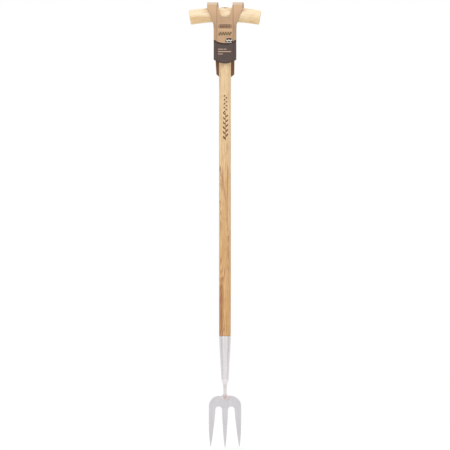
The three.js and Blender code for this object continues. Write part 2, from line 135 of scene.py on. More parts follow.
class NodeSheet:
    """A node tree, with short methods for the nodes that the finishes share."""

    def __init__(self, owner: bpy.types.Material | bpy.types.World) -> None:
        """Empties a material's or a world's node tree.

        Args:
            owner: The material or world.
        """
        owner.use_nodes = True
        self.tree = owner.node_tree
        self.tree.nodes.clear()

    def add(self, kind: str, inputs: dict[str | int, Any], **settings: Any) -> bpy.types.Node:
        """Adds a node, sets its properties and feeds its inputs.

        Args:
            kind: The node's type name.
            inputs: What to feed each input with: a wire or a plain value.
            settings: Properties to set on it.

        Returns:
            The new node.
        """
        node = self.tree.nodes.new(kind)
        for key, value in settings.items():
            setattr(node, key, value)
        for key, value in inputs.items():
            if isinstance(value, Wire):
                self.tree.links.new(value, node.inputs[key])
            else:
                node.inputs[key].default_value = value
        return node

    def moved(self, vector: Wire, **inputs: Place) -> Wire:
        """Returns the vector scaled, then turned, then shifted by a Mapping node."""
        return self.add("ShaderNodeMapping", {"Vector": vector, **inputs}).outputs["Vector"]

    def split(self, vector: Wire) -> tuple[Wire, ...]:
        """Returns the three parts of a vector."""
        return tuple(self.add("ShaderNodeSeparateXYZ", {"Vector": vector}).outputs)

    def calc(self, operation: str, *values: Any) -> Wire:
        """Returns the result of one Math node."""
        return self.add("ShaderNodeMath", dict(enumerate(values)), operation=operation).outputs["Value"]

    def plus(self, first: Any, second: Any) -> Wire:
        """Returns the sum of two values."""
        return self.calc("ADD", first, second)

    def minus(self, first: Any, second: Any) -> Wire:
        """Returns the first value less the second."""
        return self.calc("SUBTRACT", first, second)

    def times(self, first: Any, *others: Any) -> Wire:
        """Returns the product of two or more values."""
        for other in others:
            first = self.calc("MULTIPLY", first, other)
        return first

    def vectors(self, operation: str, first: Any, second: Any) -> bpy.types.NodeOutputs:
        """Returns the outputs of one Vector Math node."""
        return self.add("ShaderNodeVectorMath", {0: first, 1: second}, operation=operation).outputs

    def noise(
        self,
        vector: Wire,
        scale: float,
        detail: float = 2.0,
        roughness: float = 0.5,
        bend: float = 0.0,
        rates: Place | None = None,
    ) -> Wire:
        """Returns a soft noise between 0 and 1.

        Args:
            vector: The place it is read at.
            scale: How many features there are to a metre.
            detail: How many finer octaves it holds.
            roughness: How strong those octaves are.
            bend: How far it is pushed about by itself.
            rates: How much of the scale it has along each axis, when not all of it.

        Returns:
            The noise's value.
        """
        inputs = {
            "Vector": self.moved(vector, Scale=rates) if rates else vector,
            "Scale": scale,
            "Detail": detail,
            "Roughness": roughness,
            "Distortion": bend,
        }
        return self.add("ShaderNodeTexNoise", inputs).outputs["Fac"]

    def levels(self, value: Wire, source: Point, target: Point = (0.0, 1.0)) -> Wire:
        """Returns the value eased from one range into another, and held at its ends.

        Args:
            value: The value.
            source: The range that it is read in. It may run downwards.
            target: The range that it is brought into.

        Returns:
            The eased value.
        """
        inputs = {
            "Value": value,
            "From Min": source[0],
            "From Max": source[1],
            "To Min": target[0],
            "To Max": target[1],
        }
        return self.add("ShaderNodeMapRange", inputs, interpolation_type="SMOOTHSTEP").outputs["Result"]

    def ramp(self, value: Wire, stops: Sequence[tuple[float, Colour]]) -> Wire:
        """Returns a colour read from a ramp.

        Args:
            value: The place on the ramp, from 0 to 1.
            stops: The ramp's positions and colours.

        Returns:
            The colour.
        """
        node = self.add("ShaderNodeValToRGB", {"Fac": value})
        elements = node.color_ramp.elements
        while len(elements) < len(stops):
            elements.new(1.0)
        for element, (position, colour) in zip(elements, stops):
            element.position = position
            element.color = colour
        return node.outputs["Color"]

    def blend(self, share: Any, under: Any, over: Any, how: str = "MIX") -> Wire:
        """Returns two colours blended. The colours are sockets 6 and 7 of the node, and 2 of its outputs.

        Args:
            share: How much of the blend shows, from 0 to 1.
            under: The lower colour.
            over: The upper colour.
            how: The blend mode.

        Returns:
            The blended colour.
        """
        inputs = {0: share, 6: under, 7: over}
        return self.add("ShaderNodeMix", inputs, data_type="RGBA", blend_type=how).outputs[2]


class FinishSheet(NodeSheet):
    """The node tree of a new material, whose shader is already joined to its output."""

    def __init__(self, name: str) -> None:
        """Makes the material.

        Args:
            name: The material's name.
        """
        self.material = bpy.data.materials.new(name)
        super().__init__(self.material)
        self.shader = self.add("ShaderNodeBsdfPrincipled", {})
        self.add("ShaderNodeOutputMaterial", {"Surface": self.shader.outputs["BSDF"]})

    def shade(self, **sockets: Any) -> None:
        """Feeds the shader's own sockets, named with underscores for spaces."""
        for key, value in sockets.items():
            socket = self.shader.inputs[key.replace("_", " ")]
            if isinstance(value, Wire):
                self.tree.links.new(value, socket)
            else:
                socket.default_value = value

    def place(self) -> Wire:
        """Returns the place on the piece, in the fork's own frame."""
        return self.add("ShaderNodeTexCoord", {}).outputs["Object"]

    def flat_place(self) -> Wire:
        """Returns the place on the card before it was folded, from its own map."""
        return self.add("ShaderNodeUVMap", {}, uv_map=FLAT_MAP).outputs["UV"]

    def relief(self, height: Wire, depth: float, strength: float) -> None:
        """Gives the shader a bump from a height between 0 and 1.

        Args:
            height: The height.
            depth: How deep a height of 1 is, in metres.
            strength: How strongly the bump shows.
        """
        inputs = {"Strength": strength, "Distance": depth, "Height": height}
        self.shade(Normal=self.add("ShaderNodeBump", inputs).outputs["Normal"])


class Grain(Enum):
    """Which way the grain of a turned piece runs, as the turn that stands it upright."""

    UPRIGHT = (0.0, 0.0, 0.0)
    ACROSS = (0.0, -math.pi / 2, 0.0)


@dataclass(frozen=True)
class Figure:
    """A place where the ring lines loop round each other, as they do where a board runs out."""

    centre: Place
    reach: Place
    rings: float
    stain: float

    def nearness(self, sheet: FinishSheet) -> Wire:
        """Returns how near the figure's middle a place is, from 0 outside it to 1."""
        away = sheet.vectors("SUBTRACT", sheet.place(), self.centre)["Vector"]
        scaled = sheet.vectors("DIVIDE", away, self.reach)["Vector"]
        return sheet.levels(sheet.vectors("LENGTH", scaled, self.reach)["Value"], (1.0, 0.0))


@dataclass(frozen=True)
class AshWood:
    """Sanded ash under a thin lacquer: porous ring lines, long streaks and fine pores."""

    name: str
    grain: Grain
    pale: Colour
    warm: Colour
    streak: Colour
    heart: Point
    lean: float
    ring_gap: float
    ring_depth: float
    warm_low: float
    warm_high: float
    figures: tuple[Figure, ...] = ()
    side_lean: float = 0.6
    ring_wander: float = 7.0
    stain_strength: float = 0.5
    stain_most: float = 0.85
    streak_shades: tuple[tuple[float, Colour], ...] = (
        (0.28, (0.74, 0.68, 0.6, 1.0)),
        (0.5, (1.0, 0.98, 0.96, 1.0)),
        (0.75, (1.0, 1.0, 1.0, 1.0)),
    )

    def make(self) -> bpy.types.Material:
        """Returns the finished material."""
        sheet = FinishSheet(self.name)
        upright = sheet.moved(sheet.place(), Rotation=self.grain.value)
        turn = (self.lean, self.lean * self.side_lean, 0.0)
        leaning = sheet.moved(upright, Location=(*self.heart, 0.0), Rotation=turn)
        rings = self._rings(sheet, leaning)
        fine = sheet.noise(upright, scale=1100.0, detail=4.0, roughness=0.65, rates=lengthwise(0.018))
        broad = sheet.noise(leaning, scale=55.0, detail=3.0, roughness=0.55, bend=0.4, rates=lengthwise(0.08))
        pores = self._pores(sheet, upright, rings)
        broken = sheet.times(rings, sheet.levels(fine, (0.34, 0.62), (0.3, 1.25)), self.ring_depth)
        tone = sheet.blend(broken, self._ground(sheet, broad), self.streak)
        tone = sheet.blend(pores, tone, self.streak)
        tone = sheet.blend(self._stain(sheet, leaning, broad), tone, self.streak)
        sheet.shade(
            Base_Color=sheet.blend(0.7, tone, sheet.ramp(fine, self.streak_shades), "MULTIPLY"),
            Roughness=sheet.levels(fine, (0.3, 0.7), (0.36, 0.52)),
            Specular_IOR_Level=0.45,
            Coat_Weight=0.12,
            Coat_Roughness=0.25,
        )
        height = sheet.minus(sheet.times(fine, 0.6), sheet.times(pores, 0.8))
        sheet.relief(height, depth=0.09 * MM, strength=0.55)
        return sheet.material

    def _ground(self, sheet: FinishSheet, broad: Wire) -> Wire:
        """Returns the colour between the lines, which goes from warm below to pale above. On the crossbar
        this is painted shade on the bar's round underside.

        Args:
            sheet: The node sheet to build on.
            broad: The noise that the colour wanders with.

        Returns:
            The colour.
        """
        height = sheet.split(sheet.place())[2]
        warmth = sheet.plus(
            sheet.levels(height, (self.warm_high, self.warm_low), (0.0, 0.75)),
            sheet.times(sheet.minus(broad, 0.5), 0.8),
        )
        return sheet.blend(sheet.levels(warmth, (0.0, 1.0)), self.pale, self.warm)

    def _pores(self, sheet: FinishSheet, upright: Wire, rings: Wire) -> Wire:
        """Returns the open pores, which crowd along the rings, from 0 to 1.

        Args:
            sheet: The node sheet to build on.
            upright: The place, with the grain stood upright.
            rings: The strength of the ring lines.

        Returns:
            The strength of the pores.
        """
        pores = sheet.noise(upright, scale=1900.0, rates=lengthwise(0.028))
        crowd = sheet.levels(rings, (0.05, 0.5), (0.28, 0.85))
        return sheet.times(sheet.levels(pores, (0.54, 0.64)), crowd)

    def _stain(self, sheet: FinishSheet, leaning: Wire, broad: Wire) -> Wire:
        """Returns the darker streaks, and the stain in each figure.

        Args:
            sheet: The node sheet to build on.
            leaning: The place, in the leaning frame of the trunk.
            broad: The noise that breaks the figures' stain up.

        Returns:
            How much of the streak's colour shows.
        """
        stain = sheet.noise(leaning, scale=95.0, bend=0.8, rates=lengthwise(0.05))
        share = sheet.times(sheet.levels(stain, (0.54, 0.7)), self.stain_strength)
        for figure in self.figures:
            near = sheet.levels(figure.nearness(sheet), (0.1, 0.7), (0.0, figure.stain))
            share = sheet.plus(share, sheet.times(near, sheet.levels(broad, (0.35, 0.6), (0.4, 1.0))))
        return sheet.calc("MINIMUM", share, self.stain_most)

    def _rings(self, sheet: FinishSheet, leaning: Wire) -> Wire:
        """Returns the porous line of each year's ring, from 0 to 1.

        Args:
            sheet: The node sheet to build on.
            leaning: The place, in the leaning frame of the trunk.

        Returns:
            The strength of the line.
        """
        x, y, _ = sheet.split(leaning)
        reach = sheet.calc("SQRT", sheet.plus(sheet.calc("POWER", x, 2.0), sheet.calc("POWER", y, 2.0)))
        wander = sheet.noise(leaning, scale=42.0, rates=lengthwise(0.06))
        year = sheet.plus(sheet.calc("DIVIDE", reach, self.ring_gap), sheet.times(wander, self.ring_wander))
        for figure in self.figures:
            year = sheet.plus(year, sheet.times(figure.nearness(sheet), figure.rings))
        share = sheet.calc("FRACT", year)
        return sheet.times(sheet.levels(share, (0.0, 0.1)), sheet.levels(share, (0.18, 0.75), (1.0, 0.0)))


@dataclass(frozen=True)
class EndGrain:
    """Sawn end grain of a peg or wedge: short dark pores in rows."""

    name: str
    ground: Colour
    pore: Colour

    def make(self) -> bpy.types.Material:
        """Returns the finished material."""
        sheet = FinishSheet(self.name)
        pores = sheet.noise(sheet.place(), scale=2400.0, detail=3.0, roughness=0.6)
        rows = sheet.noise(sheet.place(), scale=900.0, rates=(1.0, 0.2, 1.0))
        tone = sheet.blend(sheet.levels(pores, (0.5, 0.66), (0.0, 0.7)), self.ground, self.pore)
        sheet.shade(
            Base_Color=sheet.blend(sheet.levels(rows, (0.4, 0.65), (0.0, 0.45)), tone, self.pore),
            Roughness=sheet.levels(pores, (0.3, 0.7), (0.5, 0.7)),
        )
        sheet.relief(pores, depth=0.12 * MM, strength=0.5)
        return sheet.material


@dataclass(frozen=True)
class HeatTint:
    """The faint brown that welding leaves on steel, and where."""

    colour: Colour
    centre: Place
    reach: float
    strength: float = 0.6

    def over(self, sheet: FinishSheet, tone: Wire, ragged: Wire) -> Wire:
        """Returns the steel's colour with the tint on it.

        Args:
            sheet: The node sheet to build on.
            tone: The steel's colour.
            ragged: The noise that breaks the tint's edge up.

        Returns:
            The tinted colour.
        """
        away = sheet.vectors("DISTANCE", sheet.place(), self.centre)["Value"]
        edge = sheet.plus(away, sheet.times(ragged, self.reach * 0.4))
        share = sheet.levels(edge, (self.reach * 1.2, self.reach * 0.3), (0.0, self.strength))
        return sheet.blend(share, tone, self.colour)


@dataclass(frozen=True)
class Steel:
    """Stainless steel: a fine lengthwise polish, faint tumbling dents and an optional heat tint."""

    name: str
    colour: Colour
    gloss: Point
    brush: float
    tint: HeatTint | None = None
    cloud_shade: float = 0.84

    def make(self) -> bpy.types.Material:
        """Returns the finished material."""
        sheet = FinishSheet(self.name)
        place = sheet.place()
        strokes = sheet.noise(place, scale=2400.0, detail=3.0, roughness=0.7, rates=lengthwise(0.02))
        dents = sheet.noise(place, scale=90.0, detail=3.0, roughness=0.55, rates=lengthwise(0.5))
        clouds = sheet.noise(place, scale=110.0, detail=3.0, roughness=0.6, bend=0.3, rates=lengthwise(0.3))
        cloudy = sheet.levels(clouds, (0.3, 0.7), (0.0, 0.5))
        tone = sheet.blend(cloudy, self.colour, tinted(self.colour, self.cloud_shade))
        scratched = sheet.levels(strokes, (0.35, 0.8), (0.0, 0.3))
        tone = sheet.blend(scratched, tone, (0.95, 0.95, 0.95, 1.0), "MULTIPLY")
        if self.tint:
            tone = self.tint.over(sheet, tone, dents)
        wear = sheet.plus(sheet.times(strokes, 0.6), sheet.times(clouds, 0.4))
        sheet.shade(Base_Color=tone, Metallic=1.0, Roughness=sheet.levels(wear, (0.3, 0.7), self.gloss))
        height = sheet.plus(sheet.times(strokes, self.brush), sheet.times(dents, 0.9))
        sheet.relief(height, depth=0.12 * MM, strength=0.6)
        return sheet.material


@dataclass(frozen=True)
class SleevePrint:
    """The sleeve's dark band with its curved top, its paler straps, a painted highlight on the top chamfer,
    painted shade along the side folds and painted shadows at the band's rim and in the side gap.
    """

    band_side: float
    band_middle: float
    strap_low: float
    chamfer_highlight_low: float
    chamfer_highlight_high: float
    gap_low: float
    gap_high: float
    fold: float
    fold_top: float
    gap: float = 0.0
    bow_reach: float = 27 * MM
    rim: float = 2.2 * MM
    band: Colour = display(88, 76, 72)
    band_patch: Colour = display(98, 72, 58)
    band_rim_shadow: Colour = display(52, 36, 30)
    # Painted highlight: the pale colour laid on the chamfer facet at the top of the loops, where it faces the
    # light.
    chamfer_highlight: Colour = display(208, 197, 180)
    # Painted shade: the dark colour of the line along each side fold.
    crease: Colour = display(84, 56, 40)
    shadow: Colour = display(64, 48, 40)

    def over(self, sheet: FinishSheet, tone: Wire, card: Colour, pulp: Wire) -> Wire:
        """Returns the card's colour with the print, the painted highlight and the painted shade on it.

        Args:
            sheet: The node sheet to build on.
            tone: The bare card's colour at each place.
            card: The card's mean colour.
            pulp: The fibre noise.

        Returns:
            The printed colour.
        """
        across, up, _ = sheet.split(sheet.flat_place())
        out = sheet.calc("ABSOLUTE", across)
        strap = sheet.levels(up, (self.strap_low, self.strap_low + 30 * MM), (0.0, 0.75))
        strap = sheet.times(strap, self._fibres(sheet, pulp, 0.7, 1.0))
        tone = sheet.blend(strap, tone, tinted(card, 1.28))
        # Painted highlight on the chamfer facet, between its two folds, broken up by the fibres.
        chamfer_highlight = sheet.levels(up, (self.chamfer_highlight_low, self.chamfer_highlight_low + 0.8 * MM))
        chamfer_highlight = sheet.times(chamfer_highlight, sheet.levels(up, (self.chamfer_highlight_high, self.chamfer_highlight_high - 0.8 * MM)))
        tone = sheet.blend(sheet.times(chamfer_highlight, self._fibres(sheet, pulp, 0.35, 0.85)), tone, self.chamfer_highlight)
        bow = sheet.calc("MINIMUM", sheet.calc("DIVIDE", out, self.bow_reach), 1.0)
        rise = sheet.times(sheet.calc("POWER", bow, 2.0), self.band_side - self.band_middle)
        below = sheet.minus(sheet.plus(rise, self.band_middle), up)
        tone = sheet.blend(sheet.levels(below, (-0.15 * MM, 0.15 * MM)), tone, self._ink(sheet, below, pulp))
        # Painted shade: a dark line along each side fold, ending a little below its set top.
        from_fold = sheet.calc("ABSOLUTE", sheet.minus(out, self.fold))
        crease = sheet.levels(from_fold, (0.75 * MM, 0.15 * MM))
        crease = sheet.times(crease, self._fibres(sheet, pulp, 0.5, 0.95))
        crease = sheet.times(crease, sheet.levels(up, (self.fold_top, self.fold_top - 2 * MM)))
        tone = sheet.blend(crease, tone, self.crease)
        if not self.gap:
            return tone
        inside = sheet.levels(across, (self.gap - 1.1 * MM, self.gap - 0.7 * MM))
        for end, way in ((self.gap_low, 1.5 * MM), (self.gap_high, -1.5 * MM)):
            inside = sheet.times(inside, sheet.levels(up, (end, end + way)))
        return sheet.blend(inside, tone, self.shadow)

    def _fibres(self, sheet: FinishSheet, pulp: Wire, low: float, high: float) -> Wire:
        """Returns the fibre noise brought between two strengths."""
        return sheet.levels(pulp, (0.3, 0.6), (low, high))

    def _ink(self, sheet: FinishSheet, below: Wire, pulp: Wire) -> Wire:
        """Returns the band's colour: fibres showing through, brown patches and a painted shadow line just
        below its top.

        Args:
            sheet: The node sheet to build on.
            below: How far below the band's top a place is.
            pulp: The fibre noise.

        Returns:
            The colour.
        """
        ink = sheet.blend(sheet.levels(pulp, (0.35, 0.75), (0.0, 0.35)), self.band, tinted(self.band, 1.7))
        patches = sheet.noise(sheet.flat_place(), 190.0, detail=3.0, roughness=0.6, rates=(1.0, 0.45, 1.0))
        ink = sheet.blend(sheet.levels(patches, (0.48, 0.68), (0.0, 0.5)), ink, self.band_patch)
        # Painted shadow: a near-black line just below the band's top edge.
        from_rim = sheet.calc("ABSOLUTE", sheet.minus(below, self.rim))
        return sheet.blend(sheet.levels(from_rim, (2.6 * MM, 1.0 * MM), (0.0, 0.8)), ink, self.band_rim_shadow)


@dataclass(frozen=True)
class Kraft:
    """Uncoated brown card: pulp fibres, dark flecks and faint upright fluting, with or without print."""

    name: str
    colour: Colour
    print_on: SleevePrint | None = None
    flute_gap: float = 2.7 * MM

    def make(self) -> bpy.types.Material:
        """Returns the finished material."""
        sheet = FinishSheet(self.name)
        spot = sheet.flat_place()
        pulp = sheet.noise(spot, scale=900.0, detail=5.0, roughness=0.7)
        clouds = sheet.noise(spot, scale=70.0, detail=3.0, roughness=0.6)
        threads = sheet.noise(spot, scale=2600.0, bend=0.6, rates=(0.25, 1.0, 1.0))
        flecks = sheet.noise(spot, scale=1500.0, detail=1.0, roughness=0.4)
        flute = sheet.calc("SINE", sheet.times(sheet.split(spot)[0], 2.0 * math.pi / self.flute_gap))
        dark = tinted(self.colour, 0.62)
        tone = self.colour
        for pattern, span, strength, colour in (
            (clouds, (0.3, 0.7), 0.3, dark),
            (pulp, (0.35, 0.75), 0.4, tinted(self.colour, 1.3)),
            (threads, (0.6, 0.75), 0.45, dark),
            (flecks, (0.68, 0.76), 0.5, dark),
            (flute, (-1.0, 1.0), 0.1, dark),
        ):
            tone = sheet.blend(sheet.levels(pattern, span, (0.0, strength)), tone, colour)
        if self.print_on:
            tone = self.print_on.over(sheet, tone, self.colour, pulp)
        sheet.shade(
            Base_Color=tone,
            Roughness=sheet.levels(pulp, (0.3, 0.7), (0.78, 0.95)),
            Specular_IOR_Level=0.25,
        )
        height = sheet.plus(sheet.times(pulp, 0.5), sheet.times(flute, 0.12))
        sheet.relief(height, depth=0.12 * MM, strength=0.6)
        return sheet.material


@dataclass(frozen=True)
class Ink:
    """Matte ink or a burnt mark, mottled by what is under it."""

    name: str
    colour: Colour
    mottle: float
    roughness: float

    def make(self) -> bpy.types.Material:
        """Returns the finished material."""
        sheet = FinishSheet(self.name)
        speckle = sheet.noise(sheet.place(), scale=1800.0, detail=3.0, roughness=0.6)
        clouds = sheet.noise(sheet.place(), scale=220.0)
        lighter = tuple(mix(part, 0.35, 0.35) for part in self.colour[:3]) + (1.0,)
        bare = sheet.times(sheet.levels(speckle, (0.4, 0.75)), sheet.levels(clouds, (0.3, 0.7), (0.4, 1.0)))
        sheet.shade(
            Base_Color=sheet.blend(sheet.times(bare, self.mottle), self.colour, lighter),
            Roughness=sheet.levels(speckle, (0.3, 0.7), (self.roughness - 0.1, self.roughness + 0.1)),
            Specular_IOR_Level=0.25,
        )
        sheet.relief(speckle, depth=0.03 * MM, strength=0.3)
        return sheet.material


# ------------------------------------------------------------------ modelling helpers


def only(kind: type, geometry: Iterable[Any]) -> list[Any]:
    """Returns the elements of one kind from an operator's result."""
    return [element for element in geometry if isinstance(element, kind)]


def edges_of(verts: Iterable[BMVert]) -> list[BMEdge]:
    """Returns every edge that touches some vertices."""
    return list(dict.fromkeys(edge for vert in verts for edge in vert.link_edges))


def faces_of(verts: Iterable[BMVert]) -> list[bmesh.types.BMFace]:
    """Returns every face that touches some vertices."""
    return list(dict.fromkeys(face for vert in verts for face in vert.link_faces))


def span_y(edge: BMEdge) -> float:
    """Returns how far an edge reaches along Y."""
    return abs(edge.verts[0].co.y - edge.verts[1].co.y)


def disc(bm: BMesh, radius: float, sides: int) -> list[BMVert]:
    """Adds a flat round face in X and Y, and returns its vertices."""
    return bmesh.ops.create_circle(bm, cap_ends=True, segments=sides, radius=radius)["verts"]


def placement(origin: Vector, along: Vector, across: Vector, half_width: float, half_depth: float) -> Matrix:
    """Places a unit ring at a point on a path.

    Args:
        origin: The ring's centre.
        along: The way the path runs.
        across: The way the ring's width runs.
        half_width: Half the ring's size across.
        half_depth: Half its size the other way.

    Returns:
        The matrix that takes a unit circle there.
    """
    ahead = along.normalized()
    aside = (across - ahead * across.dot(ahead)).normalized()
    third = ahead.cross(aside)
    turned = Matrix((aside * half_width, third * half_depth, ahead)).transposed().to_4x4()
    turned.translation = origin
    return turned


def sweep(placements: Sequence[Matrix], sides: int, joined: bool = False) -> BMesh:
    """Extrudes a ring from each placement to the next.

    Args:
        placements: Where the ring stands, in order.
        sides: How many sides the ring has.
        joined: Whether the last ring meets the first, in place of two closed ends.

    Returns:
        A mesh whose faces point outwards.
    """
    bm = bmesh.new()
    ring = bmesh.ops.create_circle(bm, segments=sides, radius=1.0, matrix=placements[0])["verts"]
    loop = edges_of(ring)
    ends = list(loop)
    for before, after in zip(placements, placements[1:]):
        grown = bmesh.ops.extrude_edge_only(bm, edges=loop)["geom"]
        verts = only(BMVert, grown)
        fresh = set(verts)
        loop = [edge for edge in only(BMEdge, grown) if set(edge.verts) <= fresh]
        bmesh.ops.transform(bm, matrix=after @ before.inverted(), verts=verts)
    if joined:
        bmesh.ops.remove_doubles(bm, verts=bm.verts, dist=MERGE_GAP)
    else:
        bmesh.ops.holes_fill(bm, edges=ends, sides=0)
        bmesh.ops.holes_fill(bm, edges=loop, sides=0)
    bmesh.ops.recalc_face_normals(bm, faces=bm.faces)
    return bm


def lathe(profile: Sequence[Point], steps: int) -> BMesh:
    """Turns a profile of (radius, height) pairs about Z.

    Args:
        profile: The pairs, in order. They close on the axis or on themselves.
        steps: How many steps the full turn has.

    Returns:
        A mesh whose faces point outwards.
    """
    bm = bmesh.new()
    verts = [bm.verts.new((radius, 0.0, height)) for radius, height in profile]
    edges = [bm.edges.new(pair) for pair in zip(verts, verts[1:])]
    turn = {"cent": (0, 0, 0), "axis": UP, "dvec": (0, 0, 0), "angle": 2 * math.pi}
    bmesh.ops.spin(bm, geom=verts + edges, steps=steps, use_merge=True, **turn)
    bmesh.ops.remove_doubles(bm, verts=bm.verts, dist=MERGE_GAP)
    bmesh.ops.recalc_face_normals(bm, faces=bm.faces)
    return bm


def soften(bm: BMesh, width: float, segments: int = 3, above: float = 35.0) -> None:
    """Rounds every edge that turns more than an angle.

    Args:
        bm: The mesh.
        width: How far the rounding reaches from each edge.
        segments: How many steps it has.
        above: The angle, in degrees.
    """
    limit = math.radians(above)
    edges = [e for e in bm.edges if len(e.link_faces) == 2 and e.calc_face_angle() > limit]
    bmesh.ops.bevel(
        bm,
        geom=edges,
        offset=width,
        offset_type="OFFSET",
        affect="EDGES",
        segments=segments,
        profile=0.5,
        material=-1,
        clamp_overlap=True,
    )


def stand(name: str, data: Any, place: Place = (0.0, 0.0, 0.0)) -> bpy.types.Object:
    """Puts a new object into the scene.

    Args:
        name: The object's name.
        data: Its mesh, light or camera.
        place: Where it stands.

    Returns:
        The new object.
    """
    thing = bpy.data.objects.new(name, data)
    thing.location = place
    bpy.context.scene.collection.objects.link(thing)
    return thing


def finish_piece(
    bm: BMesh,
    name: str,
    materials: Sequence[bpy.types.Material],
    body: str,
    replaced: str = "",
    sharp: float = 40.0,
) -> bpy.types.Object:
    """Makes an object of a mesh, dresses it and joins it to a body.

    Args:
        bm: The mesh, already in its place.
        name: The piece's name.
        materials: Its materials, in slot order.
        body: The body that it moves with.
        replaced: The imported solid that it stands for, when it stands for one.
        sharp: Edges that turn more than this many degrees stay crisp.

    Returns:
        The new object.
    """
    mesh = bpy.data.meshes.new(name)
    for face in bm.faces:
        face.smooth = True
    bm.to_mesh(mesh)
    bm.free()
    mesh.set_sharp_from_angle(angle=math.radians(sharp))
    for material in materials:
        mesh.materials.append(material)
    piece = stand(name, mesh)
    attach(piece, body)
    if replaced:
        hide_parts(replaced)
    LOG.info("%s: %d faces on %s", name, len(mesh.polygons), body)
    return piece


def keep_flats(piece: bpy.types.Object) -> None:
    """Shades a piece so that its large flat faces stay flat beside their rounded edges."""
    modifier = piece.modifiers.new("flat_faces", "WEIGHTED_NORMAL")
    modifier.keep_sharp = True
    modifier.weight = 60


def flush_plug(radius: float, rings: int, seat: Callable[[float, float], Vector], depth: Vector) -> BMesh:
    """Makes a round plug whose face follows the surface that it is let into.

    Args:
        radius: The plug's radius.
        rings: How many rings its face has inside the glue line.
        seat: Gives the point on the surface for a place on the plug's face.
        depth: How far and which way the plug goes in.

    Returns:
        The plug. Its outermost ring is the glue line, in material slot 1.
    """
    bm = bmesh.new()
    face = faces_of(disc(bm, radius, sides=48))
    glued = bmesh.ops.inset_individual(bm, faces=face, thickness=GLUE_LINE, use_even_offset=True)["faces"]
    for part in glued:
        part.material_index = 1
    for _ in range(rings):
        bmesh.ops.inset_individual(bm, faces=face, thickness=radius / (rings + 1.5), use_even_offset=True)
    raised = bmesh.ops.extrude_face_region(bm, geom=list(bm.faces), use_keep_orig=True)["geom"]
    top = set(only(BMVert, raised))
    for vert in bm.verts:
        vert.co = seat(vert.co.x, vert.co.y) + (Vector() if vert in top else depth)
    bmesh.ops.recalc_face_normals(bm, faces=bm.faces)
    return bm


# ------------------------------------------------------------------ flat marks, drawn in millimetres

CUT_GAP = 1e-4
LEAF_POINT = 0.35


def leaf(bm: BMesh, centre: Point, size: Point, turn: float, vein: float = 0.12) -> None:
    """Adds a flat leaf in X and Y, in two halves beside its vein.

    Args:
        bm: The mesh to add to.
        centre: Where the leaf's middle is.
        size: Its width and its length.
        turn: How far it is turned from upright, in degrees.
        vein: Half the width of the bare line between its halves.
    """
    for side in (-1.0, 1.0):
        verts = disc(bm, radius=1.0, sides=20)
        for vert in verts:
            vert.co.x *= (1.0 - vert.co.y**2) ** LEAF_POINT
        bmesh.ops.scale(bm, vec=(size[0] / 2, size[1] / 2, 1.0), verts=verts)
        parts = [*verts, *edges_of(verts), *faces_of(verts)]
        plane = {"plane_co": (side * vein, 0, 0), "plane_no": (side, 0, 0)}
        cut = bmesh.ops.bisect_plane(bm, geom=parts, dist=CUT_GAP, clear_inner=True, **plane)["geom_cut"]
        kept = list(dict.fromkeys([*only(BMVert, cut), *(vert for vert in verts if vert.is_valid)]))
        bmesh.ops.rotate(bm, verts=kept, matrix=Matrix.Rotation(math.radians(turn), 3, "Z"))
        bmesh.ops.translate(bm, verts=kept, vec=(*centre, 0.0))


def bar(bm: BMesh, left: float, right: float, height: float, thickness: float) -> None:
    """Adds a flat bar with rounded ends.

    Args:
        bm: The mesh to add to.
        left: Its left end.
        right: Its right end.
        height: The height of its middle.
        thickness: How thick it is.
    """
    verts = disc(bm, thickness / 2, sides=16)
    for vert in verts:
        vert.co.x += right - thickness / 2 if vert.co.x > 0 else left + thickness / 2
    bmesh.ops.translate(bm, verts=verts, vec=(0.0, height, 0.0))


def lozenge(bm: BMesh, centre: Point, half_width: float, half_height: float, sides: int) -> list[BMVert]:
    """Adds a flat shape with straight top and bottom and round ends.

    Args:
        bm: The mesh to add to.
        centre: Its middle.
        half_width: Half its width.
        half_height: Half its height.
        sides: How many sides its two round ends have together.

    Returns:
        Its vertices.
    """
    verts = disc(bm, half_height, sides)
    for vert in verts:
        vert.co.x += math.copysign(half_width - half_height, vert.co.x)
    bmesh.ops.translate(bm, verts=verts, vec=(*centre, 0.0))
    return verts


def wrap(bm: BMesh, surface: Callable[[float, float], Vector], slices: int = 0) -> BMesh:
    """Lays flat marks onto a surface.

    Args:
        bm: The marks, drawn in X and Y in millimetres.
        surface: Gives the point on the surface for a flat place, in metres.
        slices: How many upright cuts the marks need to follow its curve.

    Returns:
        The same mesh, facing out of the surface.
    """
    span = [vert.co.x for vert in bm.verts]
    left, right = min(span), max(span)
    for step in range(1, slices):
        parts = [*bm.verts, *bm.edges, *bm.faces]
        place = (mix(left, right, step / slices), 0.0, 0.0)
        bmesh.ops.bisect_plane(bm, geom=parts, dist=CUT_GAP, plane_co=place, plane_no=RIGHT)
    for vert in bm.verts:
        vert.co = surface(vert.co.x * MM, vert.co.y * MM)
    bmesh.ops.recalc_face_normals(bm, faces=bm.faces)
    bmesh.ops.reverse_faces(bm, faces=[face for face in bm.faces if face.normal.y > 0])
    return bm


# ------------------------------------------------------------------ the fork


